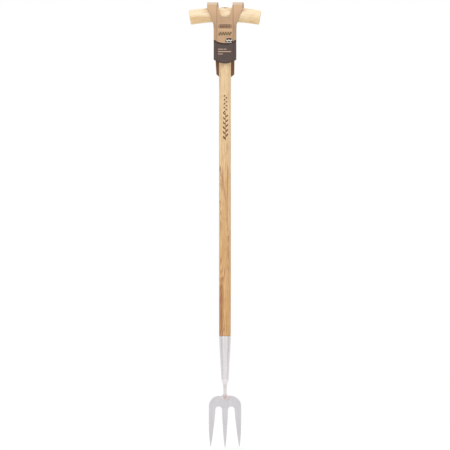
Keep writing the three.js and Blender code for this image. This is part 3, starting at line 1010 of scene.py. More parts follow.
@dataclass
class Grip:
    """The arched crossbar with its wedged tenon and its dowel."""

    length: float = 167 * MM
    middle_radius: float = 17.2 * MM
    end_radius: float = 17.5 * MM
    bend_radius: float = 503 * MM
    edge: float = 3 * MM
    edge_steps: int = 6
    sections: int = 44
    tenon_radius: float = 9.52 * MM
    tenon_depth: float = 4 * MM
    wedge_size: Place = (2.6 * MM, 15 * MM, 12 * MM)
    wedge_point: float = 0.4
    wedge_proud: float = 0.12 * MM
    dowel_radius: float = 2.5 * MM
    dowel_depth: float = 6 * MM
    dowel_drop: float = 4 * MM
    proud: float = 0.08 * MM

    def __post_init__(self) -> None:
        """Reads where the crossbar's axis lies."""
        self.axis_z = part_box("crossbar")[1].z - self.middle_radius

    def build(self) -> None:
        """Builds the crossbar and everything let into it."""
        ash = AshWood(
            name="ash_crossbar",
            grain=Grain.ACROSS,
            pale=display(252, 236, 202),
            warm=display(246, 219, 168),
            streak=display(212, 162, 108),
            heart=(31 * MM, 24 * MM),
            lean=math.radians(7.0),
            ring_gap=2.3 * MM,
            ring_depth=0.42,
            # Painted shade: the warmer, darker colour below the bar's axis stands in for the shade on its
            # round underside.
            warm_low=self.axis_z - self.middle_radius,
            warm_high=self.axis_z + self.middle_radius * 0.5,
        ).make()
        glue = Ink("glue_line", display(120, 84, 50), mottle=0.2, roughness=0.6).make()
        end = EndGrain("tenon_end_grain", display(214, 176, 126), display(142, 100, 62)).make()
        peg = EndGrain("dowel_end_grain", display(132, 88, 54), display(74, 46, 28)).make()
        tenon = flush_plug(self.tenon_radius, rings=6, seat=self._crown, depth=UP * -self.tenon_depth)
        dowel = flush_plug(self.dowel_radius, rings=3, seat=self._back, depth=FORWARD * self.dowel_depth)
        finish_piece(self._bar(), "crossbar_grip", [ash], FORK, "crossbar")
        finish_piece(tenon, "tenon_end", [end, glue], FORK)
        finish_piece(dowel, "dowel_end", [peg, glue], FORK, "crossbar_dowel")
        finish_piece(self._wedge(), "tenon_wedge", [peg], FORK, "crossbar_wedge")

    def _radius(self, along: float) -> float:
        """Returns the bar's radius at a distance from its middle."""
        return mix(self.middle_radius, self.end_radius, (2 * along / self.length) ** 2)

    def _section(self, along: float, radius: float) -> Matrix:
        """Places a ring of the bar at a distance along its arc."""
        angle = along / self.bend_radius
        drop = self.bend_radius * (1.0 - math.cos(angle))
        origin = Vector((self.bend_radius * math.sin(angle), 0.0, self.axis_z - drop))
        ahead = Vector((math.cos(angle), 0.0, -math.sin(angle)))
        return placement(origin, ahead, FORWARD, radius, radius)

    def _bar(self) -> BMesh:
        """Returns the bar, with rounded ends and flat end faces."""
        straight = self.length / 2 - self.edge
        end = []
        for step in range(self.edge_steps + 1):
            angle = math.pi / 2 * step / self.edge_steps
            radius = self._radius(straight) - self.edge * (1 - math.sin(angle))
            end.append((straight + self.edge * math.cos(angle), radius))
        middle = [mix(-straight, straight, step / self.sections) for step in range(1, self.sections)]
        stations = [(-along, radius) for along, radius in end]
        stations += [(along, self._radius(along)) for along in middle]
        stations += reversed(end)
        return sweep([self._section(along, radius) for along, radius in stations], sides=72)

    def _crown(self, x: float, y: float) -> Vector:
        """Returns the point on top of the bar over a place in plan, a hair above the wood."""
        drop = x * x / (2 * self.bend_radius)
        height = math.sqrt(max(0.0, self.middle_radius**2 - y * y))
        return Vector((x, y, self.axis_z - drop + height + self.proud))

    def _back(self, x: float, up: float) -> Vector:
        """Returns the point on the back of the bar near the dowel."""
        below = up - self.dowel_drop
        reach = math.sqrt(self.middle_radius**2 - below * below)
        return Vector((x, reach + self.proud, self.axis_z + below))

    def _wedge(self) -> BMesh:
        """Returns the wedge, trimmed to the crown of the bar."""
        bm = bmesh.new()
        bmesh.ops.create_cube(bm, size=1.0)
        bmesh.ops.scale(bm, vec=self.wedge_size, verts=bm.verts)
        long_edges = [edge for edge in bm.edges if span_y(edge) > MM]
        bmesh.ops.subdivide_edges(bm, edges=long_edges, cuts=12, use_grid_fill=True)
        soften(bm, width=0.2 * MM, segments=2)
        deep = self.wedge_size[2]
        for vert in bm.verts:
            narrowing = mix(self.wedge_point, 1.0, vert.co.z / deep + 0.5)
            top = self._crown(vert.co.x, vert.co.y).z + self.wedge_proud
            vert.co = Vector((vert.co.x * narrowing, vert.co.y, top + vert.co.z - deep / 2))
        return bm


@dataclass
class Shaft:
    """The turned ash shaft, with a burnt sprig on its front.

    The sprig's heights and its seeds' gap are in millimetres, as all flat marks are drawn.
    """

    radius: float = 14 * MM
    waist: float = 13.7 * MM
    taper: float = 150 * MM
    inside: float = 12.5 * MM
    toe: float = 6.9 * MM
    shoulder_gap: float = 0.3 * MM
    top_drop: float = 25 * MM
    mark_lift: float = 0.04 * MM
    mark_x: float = 1.2 * MM
    sprig_low: float = 722.0
    sprig_high: float = 830.0
    seeds: int = 9
    seed_gap: float = 4.6
    leaves: int = 11

    def build(self) -> None:
        """Builds the shaft and its mark."""
        ash = AshWood(
            name="ash_shaft",
            grain=Grain.UPRIGHT,
            pale=display(250, 223, 176),
            warm=display(213, 161, 93),
            streak=display(156, 94, 54),
            heart=(9.5 * MM, 25 * MM),
            lean=math.radians(0.9),
            ring_gap=2.4 * MM,
            ring_depth=0.5,
            warm_low=240 * MM,
            warm_high=1020 * MM,
            figures=(
                Figure((-8 * MM, -12 * MM, 335 * MM), (9 * MM, 20 * MM, 115 * MM), 4.0, 0.7),
                Figure((-14 * MM, -4 * MM, 300 * MM), (8 * MM, 16 * MM, 140 * MM), 1.0, 0.9),
                Figure((-12 * MM, -9 * MM, 600 * MM), (7 * MM, 16 * MM, 60 * MM), 3.5, 0.1),
                Figure((-12 * MM, -8 * MM, 655 * MM), (4 * MM, 12 * MM, 14 * MM), 0.6, 0.8),
                Figure((-12 * MM, -8 * MM, 577 * MM), (3 * MM, 12 * MM, 8 * MM), 0.6, 0.8),
                Figure((5 * MM, -12 * MM, 455 * MM), (6 * MM, 16 * MM, 70 * MM), 2.5, 0.15),
                Figure((4 * MM, 13 * MM, 620 * MM), (9 * MM, 18 * MM, 120 * MM), 4.0, 0.3),
            ),
        ).make()
        burn = Ink("burnt_mark", display(98, 56, 28), mottle=0.3, roughness=0.85).make()
        finish_piece(lathe(self._profile(), steps=96), "shaft_turned", [ash], FORK, "shaft")
        sprig = wrap(self._sprig(), self._surface, slices=24)
        finish_piece(sprig, "burnt_sprig", [burn], FORK, sharp=80.0)

    def _profile(self) -> list[Point]:
        """Returns the shaft's outline, from the toe inside the socket up into the crossbar."""
        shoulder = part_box("socket")[1].z + self.shoulder_gap
        toe_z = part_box("shaft")[0].z
        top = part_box("crossbar")[1].z - self.top_drop
        return [
            (0.0, toe_z),
            (self.toe, toe_z),
            (self.inside, shoulder),
            (self.waist - 0.5 * MM, shoulder),
            (self.waist - 0.15 * MM, shoulder + 0.15 * MM),
            (self.waist, shoulder + 0.5 * MM),
            (mix(self.waist, self.radius, 0.6), shoulder + self.taper / 2),
            (self.radius, shoulder + self.taper),
            (self.radius, mix(shoulder, top, 0.6)),
            (self.radius, top),
            (0.0, top),
        ]

    def _surface(self, x: float, z: float) -> Vector:
        """Returns the point on the front of the shaft for a flat place."""
        angle = (x + self.mark_x) / self.radius
        reach = self.radius + self.mark_lift
        return Vector((reach * math.sin(angle), -reach * math.cos(angle), z))

    def _sprig(self) -> BMesh:
        """Returns a sprig: a row of seeds, then a stem with leaves that grow larger downwards."""
        bm = bmesh.new()
        for step in range(self.seeds):
            side = 1 if step % 2 else -1
            leaf(bm, (side * 2.3, self.sprig_high - 3.0 - step * self.seed_gap), (3.1, 6.0), side * 55.0)
        stem_top = self.sprig_high - self.seeds * self.seed_gap
        for step in range(self.leaves):
            side = 1 if step % 2 else -1
            share = step / (self.leaves - 1)
            centre = (side * 3.5, mix(stem_top - 3.0, self.sprig_low + 7.0, share))
            leaf(bm, centre, (mix(3.2, 4.0, share), mix(8.5, 10.5, share)), -side * 36.0)
        verts = disc(bm, radius=0.6, sides=8)
        for vert in verts:
            vert.co.y += stem_top if vert.co.y > 0 else self.sprig_low
        stem = [edge for edge in edges_of(verts) if span_y(edge) > 10.0]
        bmesh.ops.subdivide_edges(bm, edges=stem, cuts=2, use_grid_fill=True)
        return bm


@dataclass
class Socket:
    """The conical steel socket, its rounded nose and the rivet behind it."""

    wall: float = 1.5 * MM
    hole: float = 4.3 * MM
    lip: float = 0.4 * MM
    throat: float = 8.6 * MM
    nose: float = 19.5 * MM
    nose_steps: int = 14
    band: float = 3.2 * MM
    band_proud: float = 0.18 * MM
    band_edge: float = 0.25 * MM
    rim_proud: float = 0.12 * MM
    rivet_drop: float = 24 * MM
    rivet_radius: float = 4 * MM
    rivet_height: float = 1.8 * MM
    rivet_edge: float = 0.25 * MM
    rivet_root: float = 2 * MM
    rivet_flat: float = 0.85
    rivet_steps: int = 10

    def __post_init__(self) -> None:
        """Reads where the socket's nose and mouth are."""
        low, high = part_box("socket")
        self.nose_z, self.mouth_z, self.mouth = low.z, high.z, high.x
        start = math.asin((self.hole + self.lip) / self.throat)
        self.throat_z = self.nose_z + self.nose * math.cos(start)

    def build(self) -> None:
        """Builds the socket and its rivet."""
        tint = HeatTint(display(216, 198, 190), (0.0, 0.0, self.nose_z - 2 * MM), 10 * MM)
        polished = Steel("socket_steel", display(236, 231, 232), (0.17, 0.3), 0.4, tint).make()
        domed = Steel("rivet_steel", display(226, 222, 218), (0.24, 0.36), 0.2).make()
        cone = lathe(self._profile(), steps=96)
        soften(cone, width=0.3 * MM, above=30.0)
        keep_flats(finish_piece(cone, "socket_cone", [polished], FORK, "socket"))
        finish_piece(self._rivet(), "rivet_head", [domed], FORK, "socket_rivet")

    def _reach(self, drop: float) -> float:
        """Returns the cone's radius at a distance below its mouth."""
        slope = (self.mouth - self.throat) / (self.mouth_z - self.throat_z)
        return self.mouth - slope * drop

    def _nose_points(self, inset: float, hole: float) -> list[Point]:
        """Returns the points round the nose, from its hole up to the throat.

        Args:
            inset: How far inside the outer face they lie.
            hole: The radius that they start at.

        Returns:
            The points as (radius, height).
        """
        start = math.asin(hole / (self.throat - inset))
        points = []
        for step in range(self.nose_steps + 1):
            angle = mix(start, math.pi / 2, step / self.nose_steps)
            height = self.throat_z - (self.nose - inset) * math.cos(angle)
            points.append(((self.throat - inset) * math.sin(angle), height))
        return points

    def _profile(self) -> list[Point]:
        """Returns the socket's outline, out round the nose, up, over the rim and back down inside."""
        outer = self._nose_points(0.0, self.hole + self.lip)
        inner = self._nose_points(self.wall, self.hole)[::-1]
        band_z = self.mouth_z - self.band
        rim = [
            (self._reach(self.band), band_z),
            (self._reach(self.band) + self.band_proud, band_z + self.band_edge),
            (self.mouth + self.rim_proud, self.mouth_z),
            (self.mouth - self.wall, self.mouth_z),
        ]
        return [(self.hole, self.nose_z), *outer, *rim, *inner, (self.hole, self.nose_z)]

    def _rivet(self) -> BMesh:
        """Returns the rivet's low dome, with the small flat that its tool leaves."""
        radius = self.rivet_radius
        profile = [(0.0, -self.rivet_root), (radius, -self.rivet_root), (radius, self.rivet_edge)]
        for step in range(1, self.rivet_steps):
            angle = math.pi / 2 * step / self.rivet_steps
            rise = self.rivet_height * self.rivet_flat * math.sin(angle)
            profile.append((radius * math.cos(angle), self.rivet_edge + rise))
        profile.append((0.0, profile[-1][1]))
        bm = lathe(profile, steps=40)
        seat = Matrix.Rotation(-math.pi / 2, 4, "X")
        seat.translation = Vector((0.0, self._reach(self.rivet_drop), self.mouth_z - self.rivet_drop))
        bmesh.ops.transform(bm, matrix=seat, verts=bm.verts)
        return bm


@dataclass
class Neck:
    """The cranked rod between socket and head, with its spread foot and its welds.

    The foot's rows are in millimetres: height above the head's top, half width and half depth.
    """

    radius: float = 4 * MM
    set_back: float = 5 * MM
    rod_in: float = 15 * MM
    rod_edge: float = 1 * MM
    rod_tip: float = 0.85
    crank_top: float = 3 * MM
    crank_foot: float = 3.5 * MM
    crank_steps: int = 16
    foot_half: float = 10.4 * MM
    foot_rows: tuple[Place, ...] = (
        (2.4, 4.4, 3.8),
        (1.4, 5.4, 3.3),
        (0.6, 7.2, 2.7),
        (-0.1, 9.2, 2.25),
        (-0.8, 10.3, 2.1),
        (-1.6, 9.9, 2.05),
        (-3.4, 7.9, 2.0),
        (-5.6, 5.5, 1.9),
        (-7.8, 3.3, 1.8),
        (-9.6, 1.6, 1.6),
        (-10.6, 0.7, 1.1),
    )
    plate: float = 3.2 * MM
    bead: float = 1.45 * MM
    ring_bead: float = 1.015 * MM
    ripple: float = 1.15 * MM
    ripple_swell: float = 0.05
    bead_end: float = 0.35
    v_side: float = 0.1 * MM
    v_drop: float = 0.6 * MM
    v_rise: float = 0.2 * MM
    v_round: Point = (1.0 * MM, 0.3 * MM)
    v_sunk: float = 0.8 * MM
    top_half: float = 5.6 * MM
    top_rise: float = 0.2 * MM
    top_back: float = 1.1 * MM
    ring_out: float = 0.2 * MM
    ring_drop: float = 0.45 * MM
    ring_steps: int = 112

    def __post_init__(self) -> None:
        """Reads where the socket ends and the head begins."""
        self.nose_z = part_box("socket")[0].z
        self.head_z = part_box("fork_head")[1].z
        self.plate_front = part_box("fork_head")[1].y - self.plate
        self.foot_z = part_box("neck")[0].z

    def build(self) -> None:
        """Builds the rod and the welds."""
        tint = HeatTint(display(190, 158, 156), (0.0, self.set_back, self.head_z - 4 * MM), 11 * MM)
        satin = Steel("neck_steel", display(227, 222, 220), (0.3, 0.42), 0.3, tint).make()
        weld = Steel("weld_bead", display(240, 236, 234), (0.22, 0.36), 0.2).make()
        finish_piece(self._rod(), "neck_rod", [satin], FORK, "neck", sharp=60.0)
        for name, bead, replaced in (
            ("foot_weld", self._foot_weld(), "head_weld"),
            ("top_weld", self._top_weld(), ""),
            ("nose_weld", self._nose_weld(), "socket_weld"),
        ):
            finish_piece(bead, name, [weld], FORK, replaced, sharp=70.0)

    def _rod(self) -> BMesh:
        """Returns the rod: straight in the socket, cranked back, spread into the foot."""
        tip = self.radius * self.rod_tip
        stations = [
            (0.0, self.nose_z + self.rod_in, tip, tip),
            (0.0, self.nose_z + self.rod_in - self.rod_edge, self.radius, self.radius),
            (0.0, self.nose_z, self.radius, self.radius),
        ]
        top, foot = self.nose_z - self.crank_top, self.head_z + self.crank_foot
        for step in range(self.crank_steps + 1):
            share = step / self.crank_steps
            y = self.set_back * ease(share, 0.0, 1.0)
            stations.append((y, mix(top, foot, share), self.radius, self.radius))
        for up, half, deep in self.foot_rows:
            stations.append((self.set_back, self.head_z + up * MM, half * MM, deep * MM))
        placements = []
        around = [stations[0], *stations, stations[-1]]
        for before, (y, z, half, deep), after in zip(around, stations, around[2:]):
            ahead = Vector((0.0, after[0] - before[0], after[1] - before[1]))
            placements.append(placement(Vector((0.0, y, z)), ahead, RIGHT, half, deep))
        return sweep(placements, sides=40)

    def _beaded(self, path: Sequence[Vector], bead: float, aside: Vector, joined: bool = False) -> BMesh:
        """Returns a weld bead along a path, with the ripples that a weld cools in.

        Args:
            path: Points a quarter of a ripple apart.
            bead: The bead's radius.
            aside: A direction that the path never runs in.
            joined: Whether the path ends where it starts.

        Returns:
            The bead.
        """
        around = [path[-2], *path, path[1]] if joined else [path[0], *path, path[-1]]
        placements = []
        for index, (before, point, after) in enumerate(zip(around, path, around[2:])):
            from_end = min(index, len(path) - 1 - index)
            fade = 1.0 if joined else min(1.0, self.bead_end + from_end / 4)
            radius = bead * fade * (1.0 + self.ripple_swell * math.sin(math.pi * index / 2))
            placements.append(placement(point, after - before, aside, radius, radius))
        return sweep(placements, sides=14, joined=joined)

    def _run(self, corners: Sequence[Point], y: float) -> BMesh:
        """Returns the bead along straight runs between corners on the plate.

        Args:
            corners: The corners, as (x, height).
            y: How far back the bead lies.

        Returns:
            The bead.
        """
        corner_points = [Vector((x, y, z)) for x, z in corners]
        path = corner_points[:1]
        for start, end in zip(corner_points, corner_points[1:]):
            count = max(2, round((end - start).length / (self.ripple / 4)))
            path += [start.lerp(end, step / count) for step in range(1, count + 1)]
        return self._beaded(path, self.bead, FORWARD)

    def _foot_weld(self) -> BMesh:
        """Returns the V of weld round the foot, on the front of the plate."""
        out, high = self.foot_half - self.v_side, self.head_z - self.v_drop
        low = self.foot_z + self.v_rise
        near, bend = self.v_round[0], low + self.v_round[1]
        corners = [(-out, high), (-near, bend), (0.0, low), (near, bend), (out, high)]
        return self._run(corners, self.plate_front - self.v_sunk)

    def _top_weld(self) -> BMesh:
        """Returns the short weld that closes the rod onto the top edge of the plate."""
        z = self.head_z + self.top_rise
        return self._run([(-self.top_half, z), (self.top_half, z)], self.plate_front + self.top_back)

    def _nose_weld(self) -> BMesh:
        """Returns the ring of weld where the rod leaves the socket's nose."""
        reach, z = self.radius + self.ring_out, self.nose_z - self.ring_drop
        path = []
        for step in range(self.ring_steps + 1):
            angle = 2 * math.pi * step / self.ring_steps
            path.append(Vector((reach * math.cos(angle), reach * math.sin(angle), z)))
        return self._beaded(path, self.ring_bead, UP, joined=True)


@dataclass
class ForkHead:
    """The flat three-tined head, with its edges eased."""

    edge: float = 0.75 * MM

    def build(self) -> None:
        """Builds the head."""
        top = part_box("fork_head")[1].z
        tint = HeatTint(display(206, 178, 180), (3 * MM, 7 * MM, top - 2 * MM), 15 * MM)
        satin = Steel("head_steel", display(224, 221, 224), (0.24, 0.38), 0.5, tint).make()
        bm = bmesh.new()
        bm.from_mesh(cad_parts["fork_head"].data)
        bmesh.ops.remove_doubles(bm, verts=bm.verts, dist=MERGE_GAP)
        bmesh.ops.dissolve_limit(bm, angle_limit=math.radians(0.3), verts=bm.verts, edges=bm.edges)
        soften(bm, self.edge, above=40.0)
        keep_flats(finish_piece(bm, "head_plate", [satin], FORK, "fork_head"))


# ------------------------------------------------------------------ the card sleeve


@dataclass(frozen=True)
class Fold:
    """A rounded fold across a strip: where it is, how far it turns and how softly."""

    at: float
    angle: float
    reach: float


def bent(distance: float, folds: Sequence[Fold]) -> Point:
    """Follows a strip through its folds.

    Args:
        distance: How far along the flat strip.
        folds: The folds, in order.

    Returns:
        How far forward and how far aside the strip is there.
    """
    forward = aside = heading = travelled = 0.0
    for fold in folds:
        straight = min(distance, fold.at - fold.reach) - travelled
        if straight > 0:
            forward += straight * math.cos(heading)
            aside += straight * math.sin(heading)
            travelled += straight
        arc = min(distance, fold.at + fold.reach) - travelled
        if arc <= 0:
            return forward, aside
        if abs(fold.angle) < 1e-4:
            forward += arc * math.cos(heading)
            aside += arc * math.sin(heading)
        else:
            radius = 2 * fold.reach / fold.angle
            turn = arc / radius
            forward += radius * (math.sin(heading + turn) - math.sin(heading))
            aside += radius * (math.cos(heading) - math.cos(heading + turn))
            heading += turn
        travelled += arc
    rest = distance - travelled
    return forward + rest * math.cos(heading), aside + rest * math.sin(heading)


def spread(low: float, high: float, count: int, closed: bool = False) -> list[float]:
    """Returns evenly spaced values from low, with high itself only when it is closed."""
    return [mix(low, high, step / count) for step in range(count + closed)]


def offsets(base: float, *steps: float) -> list[float]:
    """Returns places beside a base, from their distances in millimetres."""
    return [base + step * MM for step in steps]


class Half(Enum):
    """The two halves of the sleeve, as the way each one faces along Y."""

    FRONT = -1.0
    BACK = 1.0


@dataclass
class CardSleeve:
    """A sleeve of printed kraft card, folded round the shaft and looped over the crossbar."""

    card: float = 0.8 * MM
    inset: float = 0.2 * MM
    front_fold: float = 19 * MM
    back_fold: float = 22.5 * MM
    side_x: float = 26.7 * MM
    side_depth: float = 15 * MM
    strap_out: float = 42 * MM
    strap_in: float = 17.6 * MM
    tube_drop: float = 39 * MM
    front_length: float = 94 * MM
    front_side: float = 84.4 * MM
    notch_drop: float = 25 * MM
    twist_below: float = 12 * MM
    twist_above: float = 6 * MM
    bend: float = 1.0 * MM
    crease: float = 0.6 * MM
    skew: float = 2.0 * MM
    chamfer_rise: float = 5.8 * MM
    chamfer_depth: float = 4.0 * MM
    notch_column: int = 3
    fold_column: int = 9
    lap_x: float = 3.0 * MM
    lap_step: float = 0.1 * MM
    lap_depth: float = 0.75 * MM
    flap_taper: float = 0.13
    flap_round: float = 10.6 * MM
    bow_fades: float = 45 * MM
    flap_opens: float = 13 * MM
    print_lift: float = 0.08 * MM
    print_layer: float = 0.05 * MM
    seam: float = 0.03 * MM

    def __post_init__(self) -> None:
        """Reads the sleeve's box and works out where its folds and edges lie up the sheet."""
        low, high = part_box("card_sleeve")
        self.bottom = low.z
        self.face = high.y - self.inset
        self.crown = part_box("crossbar")[1].z
        self.tube_top = self.crown - self.tube_drop
        self.front_bottom = self.tube_top - self.front_length
        self.front_corner = self.tube_top - self.front_side
        self.notch = self.crown - self.notch_drop
        self.twist_low = self.tube_top - self.twist_below
        self.twist_high = self.tube_top + self.twist_above
        self.chamfer = high.z - self.inset - self.chamfer_rise
        self.top_fold = self.chamfer + math.hypot(self.chamfer_rise, self.chamfer_depth)
        self.path_end = self.top_fold + self.face - self.chamfer_depth

    def build(self) -> None:
        """Builds the sleeve and its printed marks."""
        kraft = display(198, 163, 130)
        front_print = SleevePrint(
            band_side=self.front_corner + 46 * MM,
            band_middle=self.front_corner + 38.5 * MM,
            strap_low=self.tube_top + 8 * MM,
            chamfer_highlight_low=self.chamfer,
            chamfer_highlight_high=self.top_fold,
            gap_low=self.front_corner + 42 * MM,
            gap_high=self.tube_top - 4 * MM,
            fold=self.front_fold,
            fold_top=self.chamfer,
            gap=self.front_fold + self._facet(Half.FRONT)[0] - 0.9 * MM,
        )
        back_print = replace(front_print, fold=self.back_fold, fold_top=self.twist_low, gap=0.0)
        front = Kraft("kraft_front", kraft, front_print).make()
        back = Kraft("kraft_back", kraft, back_print).make()
        edge = Kraft("kraft_edge", display(206, 178, 146)).make()
        # Painted shade: the card's inner face is a darker copy of the kraft, standing in for the shade inside
        # the sleeve.
        inside = Kraft("kraft_inside_shaded", display(146, 108, 76)).make()
        outside = [front, back]
        bm = bmesh.new()
        for half in Half:
            self._add_half(bm, half)
        bmesh.ops.remove_doubles(bm, verts=bm.verts, dist=self.seam)
        bmesh.ops.recalc_face_normals(bm, faces=bm.faces)
        inward = [f for f in bm.faces if f.normal.y * f.calc_center_median().y < 0 and abs(f.normal.y) > 0.9]
        if len(inward) > len(bm.faces) / 4:
            bmesh.ops.reverse_faces(bm, faces=bm.faces)
        materials = [*outside, inside, inside, edge, edge]
        piece = finish_piece(bm, "sleeve_folded", materials, SLEEVE, "card_sleeve", sharp=50.0)
        wall = piece.modifiers.new("card", "SOLIDIFY")
        wall.thickness = self.card
        wall.offset = -1.0
        wall.use_even_offset = True
        wall.material_offset = len(outside)
        wall.material_offset_rim = 2 * len(outside)
        self._print_marks()

    # ---- the flat sheet

    def _rows(self, half: Half) -> list[float]:
        """Returns the distances up the sheet at which its rows lie."""
        rows = spread(self.bottom, self.front_corner, 9) if half is Half.BACK else []
        rows += spread(self.front_corner, self.twist_low, 14)
        rows += spread(self.twist_low, self.twist_high, 12)
        rows += spread(self.twist_high, self.notch, 4)
        rows += offsets(self.notch, 0.0, 0.4, 0.9, 1.6, 2.6, 4.0)
        rows += spread(self.notch + 6 * MM, self.chamfer - 1.2 * MM, 9, closed=True)
        rows += offsets(self.chamfer, -0.6, 0.0, 0.6, 1.2, 3.5)
        rows += offsets(self.top_fold, -1.2, -0.6, 0.0, 0.6, 1.2)
        rows += spread(self.top_fold + 3 * MM, self.path_end, 4, closed=True)
        return rows

    def _columns(self, half: Half, up: float) -> list[float]:
        """Returns how far out the sheet's column lines lie at a distance up it, from the middle out."""
        fold = self._fold_at(half, up)
        columns = [0.0, self.lap_x - self.lap_step, self.lap_x + self.lap_step]
        columns += spread(self._inner(up), fold - self.bend, 4, closed=True)
        columns += [fold - self.bend / 2, fold, fold + self.bend / 2]
        columns += spread(fold + self.bend, self._outer(half, up), 7, closed=True)
        return columns

    def _fold_at(self, half: Half, up: float) -> float:
        """Returns how far out the side fold lies at a distance up the sheet."""
        if half is Half.FRONT:
            return self.front_fold
        return mix(self.back_fold, self.front_fold, ease(up, self.twist_low, self.twist_high))

    def _facet(self, half: Half) -> Point:
        """Returns the width of the side facet and the angle that it is folded by."""
        fold = self.front_fold if half is Half.FRONT else self.back_fold
        deep = self.side_depth - self.inset
        deep = deep if half is Half.FRONT else 2 * self.face - deep
        return math.hypot(self.side_x - fold, deep), math.atan2(deep, self.side_x - fold)

    def _outer(self, half: Half, up: float) -> float:
        """Returns how far out the sheet reaches at a distance up it."""
        low, tube = self.twist_low, self.tube_top
        table = [
            (low, self._fold_at(half, low) + self._facet(half)[0]),
            (low + 4.5 * MM, 31.5 * MM if half is Half.FRONT else 34.5 * MM),
            (low + 8 * MM, 29.0 * MM),
            (tube, 28.0 * MM),
            (tube + 6 * MM, 29.6 * MM),
            (tube + 18 * MM, 34.2 * MM),
            (self.crown - 6.5 * MM, 41.0 * MM),
            (self.crown - 3 * MM, self.strap_out),
        ]
        return read_table(table, up)

    def _inner(self, up: float) -> float:
        """Returns how far out the notch's edge lies at a distance up the sheet."""
        notch = self.notch
        table = [
            (notch, 6.0 * MM),
            (notch + 0.4 * MM, 7.4 * MM),
            (notch + 1.6 * MM, 8.9 * MM),
            (notch + 4.0 * MM, 10.4 * MM),
            (notch + 14 * MM, 13.6 * MM),
            (self.crown, 16.8 * MM),
            (self.chamfer, self.strap_in),
        ]
        return read_table(table, up)

    def _height(self, half: Half, out: float, up: float) -> float:
        """Returns the true distance up the sheet of a row at a column, with its rounded lower edge."""
        if half is Half.FRONT:
            low, level = self.front_corner, self.front_corner + self.bow_fades
            beyond = max(0.0, out - self.front_fold) / self._facet(half)[0]
            across = mix(min(out, self.front_fold), self.side_x, beyond)
            edge = mix(self.front_bottom, self.front_corner, (across / self.side_x) ** 2)
        else:
            low, level = self.bottom, self.front_corner
            edge = self.bottom + self.flap_round * min(1.0, out / self.back_fold) ** 2.2
        return up if up >= level else mix(edge, level, (up - low) / (level - low))

    # ---- folding it up

    def _angle(self, half: Half, up: float) -> float:
        """Returns how far the side is folded at a distance up the sheet."""
        angle = self._facet(half)[1] * (1.0 - ease(up, self.twist_low, self.twist_high))
        if half is Half.BACK:
            angle *= ease(up, self.front_corner - self.flap_opens, self.front_corner)
        return angle

    def point(self, half: Half, out: float, up: float, lift: float = 0.0) -> Vector:
        """Returns where a place on the flat sheet ends up.

        Args:
            half: Which half of the sleeve it is on.
            out: How far out from the middle, positive to the right.
            up: How far up the sheet.
            lift: How far outside the card's face.

        Returns:
            The point, in the fork's frame.
        """
        side = math.copysign(1.0, out)
        across, deep = bent(abs(out), [Fold(self._fold_at(half, up), self._angle(half, up), self.bend)])
        slope = math.atan2(self.chamfer_depth, self.chamfer_rise)
        first = Fold(self.chamfer, slope, self.crease)
        second = Fold(self.top_fold, math.pi / 2 - slope, self.crease)
        rise, over = bent(up, [first, second])
        if up >= self.path_end - MERGE_GAP:
            over = self.face
        depth = self.face - deep - over + lift
        if half is Half.BACK:
            depth -= self._lap(out, up)
            hung = max(0.0, self.front_corner - up) / (self.front_corner - self.bottom)
            across *= 1.0 - hung * (self.flap_taper if side < 0 else self.flap_taper / 4)
        toward = (half.value * (self.face - over) / self.face + 1) / 2
        aside = self.skew * ease(up, self.tube_top, self.chamfer) * toward
        return Vector((side * across + aside, half.value * depth, rise))

    def _lap(self, out: float, up: float) -> float:
        """Returns how far the back's right part lies under its left part, where they are glued."""
        edge = 0.9 * self.lap_step
        under = 1.0 - ease(-out, self.lap_x - edge, self.lap_x + edge)
        near = 1.0 - ease(out, self.lap_x, self.back_fold - 2 * self.bend)
        return self.lap_depth * under * near * (1.0 - ease(up, self.twist_low, self.twist_high))

    def _add_half(self, bm: BMesh, half: Half) -> None:
        """Adds one half of the sleeve to the mesh.

        Args:
            bm: The mesh to add to.
            half: Which half.
        """
        rows = self._rows(half)
        middle = len(self._columns(half, self.notch)) - 1
        across, upward = 2 * middle, len(rows) - 1
        verts = bmesh.ops.create_grid(bm, x_segments=across, y_segments=upward, size=0.5)["verts"]
        layer = bm.loops.layers.uv.get(FLAT_MAP) or bm.loops.layers.uv.new(FLAT_MAP)
        flat: dict[BMVert, Point] = {}
        grid: dict[BMVert, tuple[int, float]] = {}
        for vert in verts:
            column = round((vert.co.x + 0.5) * across) - middle
            row = rows[round((vert.co.y + 0.5) * upward)]
            out = math.copysign(self._columns(half, row)[abs(column)], column)
            flat[vert] = (out, self._height(half, abs(out), row))
            grid[vert] = (column, row)
        unwanted = []
        for face in faces_of(verts):
            for loop in face.loops:
                loop[layer].uv = flat[loop.vert]
            column = sum(grid[vert][0] for vert in face.verts) / 4
            row = sum(grid[vert][1] for vert in face.verts) / 4
            in_notch = abs(column) < self.notch_column and row > self.notch
            below_side = half is Half.BACK and abs(column) > self.fold_column and row < self.front_corner
            if in_notch or below_side:
                unwanted.append(face)
            face.material_index = 0 if half is Half.FRONT else 1
        for vert, (column, row) in grid.items():
            vert.co = self.point(half, *flat[vert])
            if abs(column) == middle and row <= self.twist_low:
                vert.co.x = math.copysign(self.side_x, column)
                vert.co.y = self.side_depth - self.inset - self.face
        bmesh.ops.delete(bm, geom=unwanted, context="FACES")

    # ---- printed marks

    def _front_face(self, x: float, up: float, lift: float) -> Vector:
        """Returns the point a lift in front of the front panel, by its height above the front's corners."""
        return self.point(Half.FRONT, x, self.front_corner + up, lift)

